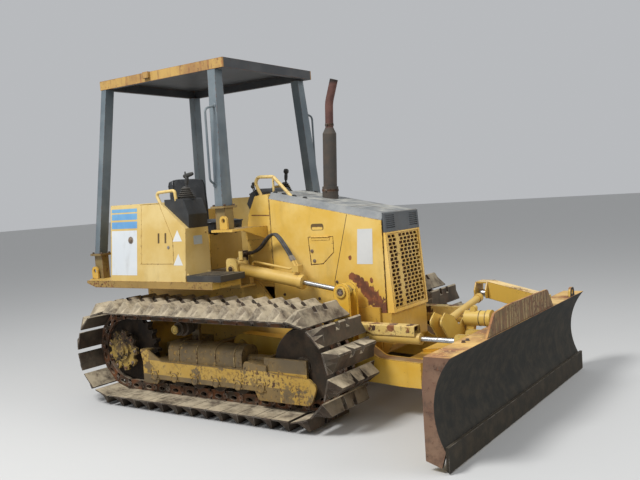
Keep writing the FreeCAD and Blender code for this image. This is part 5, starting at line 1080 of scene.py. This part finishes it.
PADS = (
    # name, CAD node, levels of (z, rear, front, half width, corner), level of the seam
    ("seat_pad", "seat_cushion", ((1346, 60, 440, 205, 50), (1356, 46, 458, 222, 60), (1440, 46, 458, 222, 60),
                                  (1452, 58, 446, 208, 56), (1456, 90, 410, 170, 50)), (1444, 43, 461, 225, 60)),
)
BACK_LEVELS = ((1352, -34, 26, 190, 24), (1372, -42, 30, 214, 30), (1600, -74, 18, 222, 36),
               (1800, -96, 8, 214, 40), (1838, -92, -2, 196, 36), (1850, -80, -20, 160, 24))
pads = []
for name, node, levels, seam_level in PADS:
    pad = piece(name, [pad_form(levels)], vinyl, "machine")
    z, rear, front, half, corner = seam_level
    seam = rounded_ring(rear, front, half, corner, z)
    puffed(pad, seam, PUFF_LIMIT)
    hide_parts(node)
    piping = piece(name + "_piping", [swept(seam, circle(PIPING_R, 8), closed=True)], vinyl, "machine")
back = piece("seat_back_pad", [pad_form(BACK_LEVELS)], vinyl, "machine")
back_seam = []
for side_way in (1, -1):
    for z, rear, front, half, corner in BACK_LEVELS[1:5][::side_way]:
        back_seam.append((front - 10, side_way * (half - 4), z))
back_seam = np.array(back_seam)
lengths = np.concatenate([[0], np.cumsum(np.linalg.norm(np.diff(back_seam, axis=0), axis=1))])
even = np.linspace(0, lengths[-1], 160)
back_seam = np.stack([np.interp(even, lengths, back_seam[:, i]) for i in range(3)], -1)
puffed(back, back_seam, PUFF_LIMIT)
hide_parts("seat_back")
piece("seat_back_piping", [swept(back_seam, circle(PIPING_R, 8), up=(1, 0, 0))], vinyl, "machine")

# Levers on the two consoles: moulded rubber bellows in five folds, a steel stick and a black grip
# whose head points forward on the right and stands up on the left.
FOLDS = 5
LEVER_X, LEVER_Y, LEVER_Z = 610, 670, 1668
rubber = painted("soft_rubber", bump=0.1, paint=(0.018, 0.018, 0.019, 1), faded=(0.05, 0.048, 0.045, 1), edge=0.0,
                 chips=0.0, streaks=0.0, dusting=0.8, dust=(0.16, 0.14, 0.11, 1))
bellows_profile = [(0, 74), (5, 76)]
for fold in range(FOLDS):
    height, reach = 8 + fold * 16, 72 - fold * 8
    bellows_profile += [(height, reach - 10), (height + 8, reach)]
bellows_profile += [(90, 26), (98, 24), (100, 15)]
lever_parts, grip_parts = [], []
for side in (-1, 1):
    foot = (LEVER_X, side * LEVER_Y, LEVER_Z)
    lever_parts.append(turned_shape(bellows_profile, foot, (0, 0, 1), 32))
    lever_parts.append(turned_shape([(-6, 92), (0, 92), (0, 80)], foot, (0, 0, 1), 4))
    tilt = np.array([0.12, 0, 1.0]) / math.hypot(0.12, 1.0)
    top = np.array(foot) + tilt * 150
    grip_parts.append(turned_shape([(86, 9), (118, 9), (122, 15), (150, 17), (176, 16), (184, 10)], foot, tilt, 16))
    if side < 0:
        grip_parts.append(turned_shape([(-34, 8), (-30, 15), (-8, 18), (40, 17), (66, 13), (72, 7)],
                                       top + tilt * 36, (1, 0, 0.18), 16))
        grip_parts.append(turned_shape([(0, 6), (20, 6), (24, 4)], top + tilt * 46 + (-18, 0, 0), (0, 0, 1), 10))
    else:
        grip_parts.append(turned_shape([(176, 12), (190, 24), (206, 26), (222, 20), (228, 9)], foot, tilt, 20))
bellows = piece("lever_bellows", lever_parts, rubber, "machine")
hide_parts("control_levers")
piece("lever_grips", grip_parts, rubber, "machine")

# Dash: round gauges with plain dials under glass-black bezels, a row of blank lamps, a key switch
# and two short levers beside the panel.
dial = painted("dial_face", bump=0.0, paint=(0.60, 0.60, 0.57, 1), faded=(0.52, 0.52, 0.49, 1), edge=0.0, chips=0.0,
               streaks=0.0, dusting=0.2)
PANEL_WAY = np.array([-0.974, 0.0, 0.228])
gauge_parts, dial_parts = [], []
for y, z, radius in ((-130, 1618, 34), (-46, 1618, 34), (46, 1618, 34), (130, 1618, 34)):
    centre = (854 + (z - 1600) * 0.22, y, z)
    gauge_parts.append(turned_shape([(-4, radius + 5), (8, radius + 5), (10, radius + 2), (10, radius - 3),
                                     (5, radius - 4)], centre, PANEL_WAY, 28))
    dial_parts.append(turned_shape([(5.2, radius - 4), (5.8, radius - 5)], centre, PANEL_WAY, 28))
    gauge_parts.append(turned_shape([(5.8, 4), (9, 4), (9.6, 3)], centre, PANEL_WAY, 10))
for y in (-160, -120, -80, 80, 120, 160):
    gauge_parts.append(turned_shape([(-3, 9), (6, 9), (8, 6)], (862, y, 1668), PANEL_WAY, 14))
gauge_parts.append(turned_shape([(-3, 16), (5, 16), (7, 12), (7, 6), (16, 5)], (862, 0, 1666), PANEL_WAY, 16))
piece("dash_gauges", gauge_parts, rubber, "machine")
piece("dash_dials", dial_parts, dial, "machine")
knob_parts = []
for y, height in ((-232, 96), (-252, 74)):
    foot = (986, y, 1648)
    knob_parts.append(turned_shape([(0, 5), (height, 5)], foot, (-0.25, 0, 1), 10))
    knob_parts.append(turned_shape([(height - 4, 6), (height + 4, 13), (height + 16, 14), (height + 26, 7)],
                                   foot, (-0.25, 0, 1), 16))
piece("dash_levers", knob_parts, rubber, "machine")


# Small steel parts: pin heads under bolted keepers, hub caps, hose sleeves, clamps, bolts and clips,
# browner than the plate they sit on because their paint was the first to go.
keeper_steel = steel("keeper_steel", tone=(0.036, 0.024, 0.017, 1), rust=(0.105, 0.050, 0.026, 1),
                     dust=(0.20, 0.14, 0.08, 1), dusting=0.4, polish=0.5)
cap_yellow = painted("cap_yellow", paint=(0.50, 0.33, 0.05, 1), faded=(0.54, 0.39, 0.09, 1), edge=1.0, chips=1.2,
                     streaks=0.4, dusting=0.5, dust=(0.20, 0.14, 0.07, 1), rust=(0.13, 0.06, 0.03, 1))
LIFT_PIN, LIFT_PIN_OUT, EAR_PIN, EAR_PIN_OUT = (895, 1070), 518, (1940, 900), 510
for side, name in ((-1, "right"), (1, "left")):
    heads = [turned_shape([(-2, 23), (3, 23), (4, 20), (4, 11), (11, 10), (12, 7)],
                          (LIFT_PIN[0], side * LIFT_PIN_OUT, LIFT_PIN[1]), (0, side, 0), 20)]
    heads += bolt((LIFT_PIN[0] - 2, side * (LIFT_PIN_OUT - 8), LIFT_PIN[1] - 62), (0, side, 0), 15, 8, 20)
    piece("lift_pin_head_" + name, heads, keeper_steel, "machine")
    collar = turned_shape([(-2, 43), (1.5, 43), (3.5, 39), (3.5, 30), (1, 28), (0.5, 26)],
                          (EAR_PIN[0], side * EAR_PIN_OUT, EAR_PIN[1]), (0, side, 0), 32)
    piece("ear_collar_" + name, [collar], yoke_paint, "push_frame")
    centre = [turned_shape([(0.2, 27), (1, 27), (1, 9), (0.6, 7)], (EAR_PIN[0], side * EAR_PIN_OUT, EAR_PIN[1]),
                           (0, side, 0), 24)]
    for turn in range(4):
        a = math.radians(35 + 90 * turn)
        centre.append(turned_shape([(0.5, 7), (3.4, 7), (4, 5)],
                                   (EAR_PIN[0] + 17 * math.cos(a), side * EAR_PIN_OUT, EAR_PIN[1] + 17 * math.sin(a)),
                                   (0, side, 0), 6))
    piece("ear_pin_head_" + name, centre, keeper_steel, "push_frame")
    hub = turned_shape([(-3, 44), (7, 44), (10, 40), (10, 26), (15, 24), (17, 14)],
                       (IDLER_X, side * (TRACK_Y + 96), AXLE_Z), (0, side, 0), 24)
    carrier = turned_shape([(-3, 36), (6, 36), (9, 32), (9, 22), (7, 20)],
                           (627, side * (TRACK_Y + 112), AXLE_Z + CHAIN_RADIUS - 94), (0, side, 0), 24)
    piece("wheel_caps_" + name, [hub, carrier], cap_yellow, "machine")
piece("boss_ring", [turned_shape([(0, 50), (0, 59), (6, 59), (6, 50)], (2863, 0, 655), (1, 0, 0), 32),
                    turned_shape([(0, 50), (0, 58), (5, 58), (5, 50)], (2815, 0, 655), (1, 0, 0), 32)],
      keeper_steel, "yoke")

sleeve_parts, crimp_parts = [], []
for shift in (0, HOSE_APART):
    sleeve_parts.append(turned_shape([(0, 12), (2, 14), (34, 14), (38, 12.2), (40, 11.2)],
                                     (HOSE_ROUTE[0][0], -HOSE_ROUTE[0][1] - shift, HOSE_ROUTE[0][2]), (1, 0, 0), 16))
    end = np.array((HOSE_ROUTE[-1][0], -HOSE_ROUTE[-1][1] - shift, HOSE_ROUTE[-1][2]), float)
    before = np.array((HOSE_ROUTE[-2][0], -HOSE_ROUTE[-2][1] - shift, HOSE_ROUTE[-2][2]), float)
    crimp_parts.append(turned_shape([(0, 12), (2, 14.5), (40, 14), (46, 12.2), (48, 11.2)], end, before - end, 16))
piece("hose_sleeves", sleeve_parts, keeper_steel, "machine")
piece("hose_crimps", crimp_parts, zinc, "lift_barrel_right")

STACK_FOOT, STACK_WAY = np.array((1533.0, 50.0, 1553.0)), np.array((math.sin(math.radians(3.3)), 0, math.cos(math.radians(3.3))))
clamp_parts = []
for height, radius in ((2182, 33), (1650, 66)):
    middle = STACK_FOOT + STACK_WAY * (height - 1553)
    clamp_parts.append(turned_shape([(0, radius - 2), (0, radius + 3), (20, radius + 3), (20, radius - 2)],
                                    middle, STACK_WAY, 32))
    clamp_parts += bolt(middle + STACK_WAY * 10 + (0, -radius - 2, 0), (0, -1, 0), 12, 8, 18)
piece("stack_clamps", clamp_parts, keeper_steel, "machine")


def on_crown(outline, proud, thick):
    """Plate lying on the sloping flat of the hood's top."""
    points, faces = slab(outline, 0.0, 1.0, "z")
    points[:, 2] = 1674.3 - 0.201 * (points[:, 0] - 1150) + proud + thick * points[:, 2]
    return points, faces


top_seams = [on_crown(rectangle(x, x + 6, -242, 242), 0.2, 0.5) for x in (1345, 1905)]
top_seams.append(on_crown(rectangle(1905, 2190, -4, 2), 0.2, 0.5))
piece("hood_top_seams", top_seams, seam_dark, "machine")
clip_parts = []
for x in (1185, 1270, 1375, 1480):
    for y in (-232, 232):
        clip_parts += [on_crown(rectangle(x - 17, x + 17, y - 9, y + 9), 0.0, 9.0),
                       on_crown(rectangle(x - 8, x + 8, y - 14, y + 14), 8.0, 5.0)]
piece("hood_clips", clip_parts, black_plastic, "machine", bevel=2)
rust_seam = painted("rust_seam", paint=(0.20, 0.085, 0.035, 1), faded=(0.34, 0.17, 0.06, 1), edge=0.2, chips=1.0,
                    streaks=0.4, dusting=0.2)
cowl_seams = [on_hood(strip((962, 1494), (1152, 1486), 9), 0.2, 0.5, side) for side in (-1, 1)]
piece("cowl_seams", cowl_seams, rust_seam, "machine")
side_bolts = []
for side in (-1, 1):
    for x, z in ((1255, 837), (1452, 788), (1597, 813), (1772, 948), (1250, 740), (1700, 745)):
        side_bolts += bolt((x, side * HOOD_HALF, z), (0, side, 0), 17, 8, 24)
piece("hood_bolts", side_bolts, keeper_steel, "machine")

foot_bolts = []
for side in (-1, 1):
    for foot_x, width, height, outer in ((970, 120, 1589.7, 689), (-490, 92, 1229.7, 719.3)):
        for dx in (-56, 56):
            for dy in (0, width - 8):
                foot_bolts += bolt((foot_x + dx, side * (outer - 4 - dy), height), (0, 0, 1), 17, 10, 24)
piece("post_foot_bolts", foot_bolts, keeper_steel, "machine")
flange_parts = []
for side in (-1, 1):
    for z, out in ((1760, 674.7), (2385, 622.3)):
        flange_parts.append(turned_shape([(-4, 21), (3, 21), (5, 17), (5, 8)], (935, side * out, z),
                                         (0, side, 0.084), 20))
piece("grab_flanges", flange_parts, post_paint, "machine")

rib_parts = []
for side in (-1, 1):
    for x in np.arange(742, 1070, 22):
        low, high = sorted((side * 575, side * 838))
        rib_parts.append(box_shape(x, x + 7, low, high, 1057.5, 1061))
piece("step_ribs", rib_parts, mat_look, "machine", smooth=False)

top_bolts = []
for y in (-905, -845, 700, 760):
    top_bolts += bolt((3080, y, 672), (0, 0, 1), 20, 11, 28)
piece("blade_top_bolts", top_bolts, keeper_steel, "blade")
case_bolts = []
for y in (-240, -120, 120, 240):
    for z in (640, 890):
        case_bolts += bolt((-345, y, z), (-1, 0, 0), 20, 10, 28)
for z in (480, 560, 720, 800):
    for y in (-262, 262):
        case_bolts += bolt((-345, y, z), (-1, 0, 0), 20, 10, 28)
piece("rear_case_bolts", case_bolts, keeper_steel, "machine")
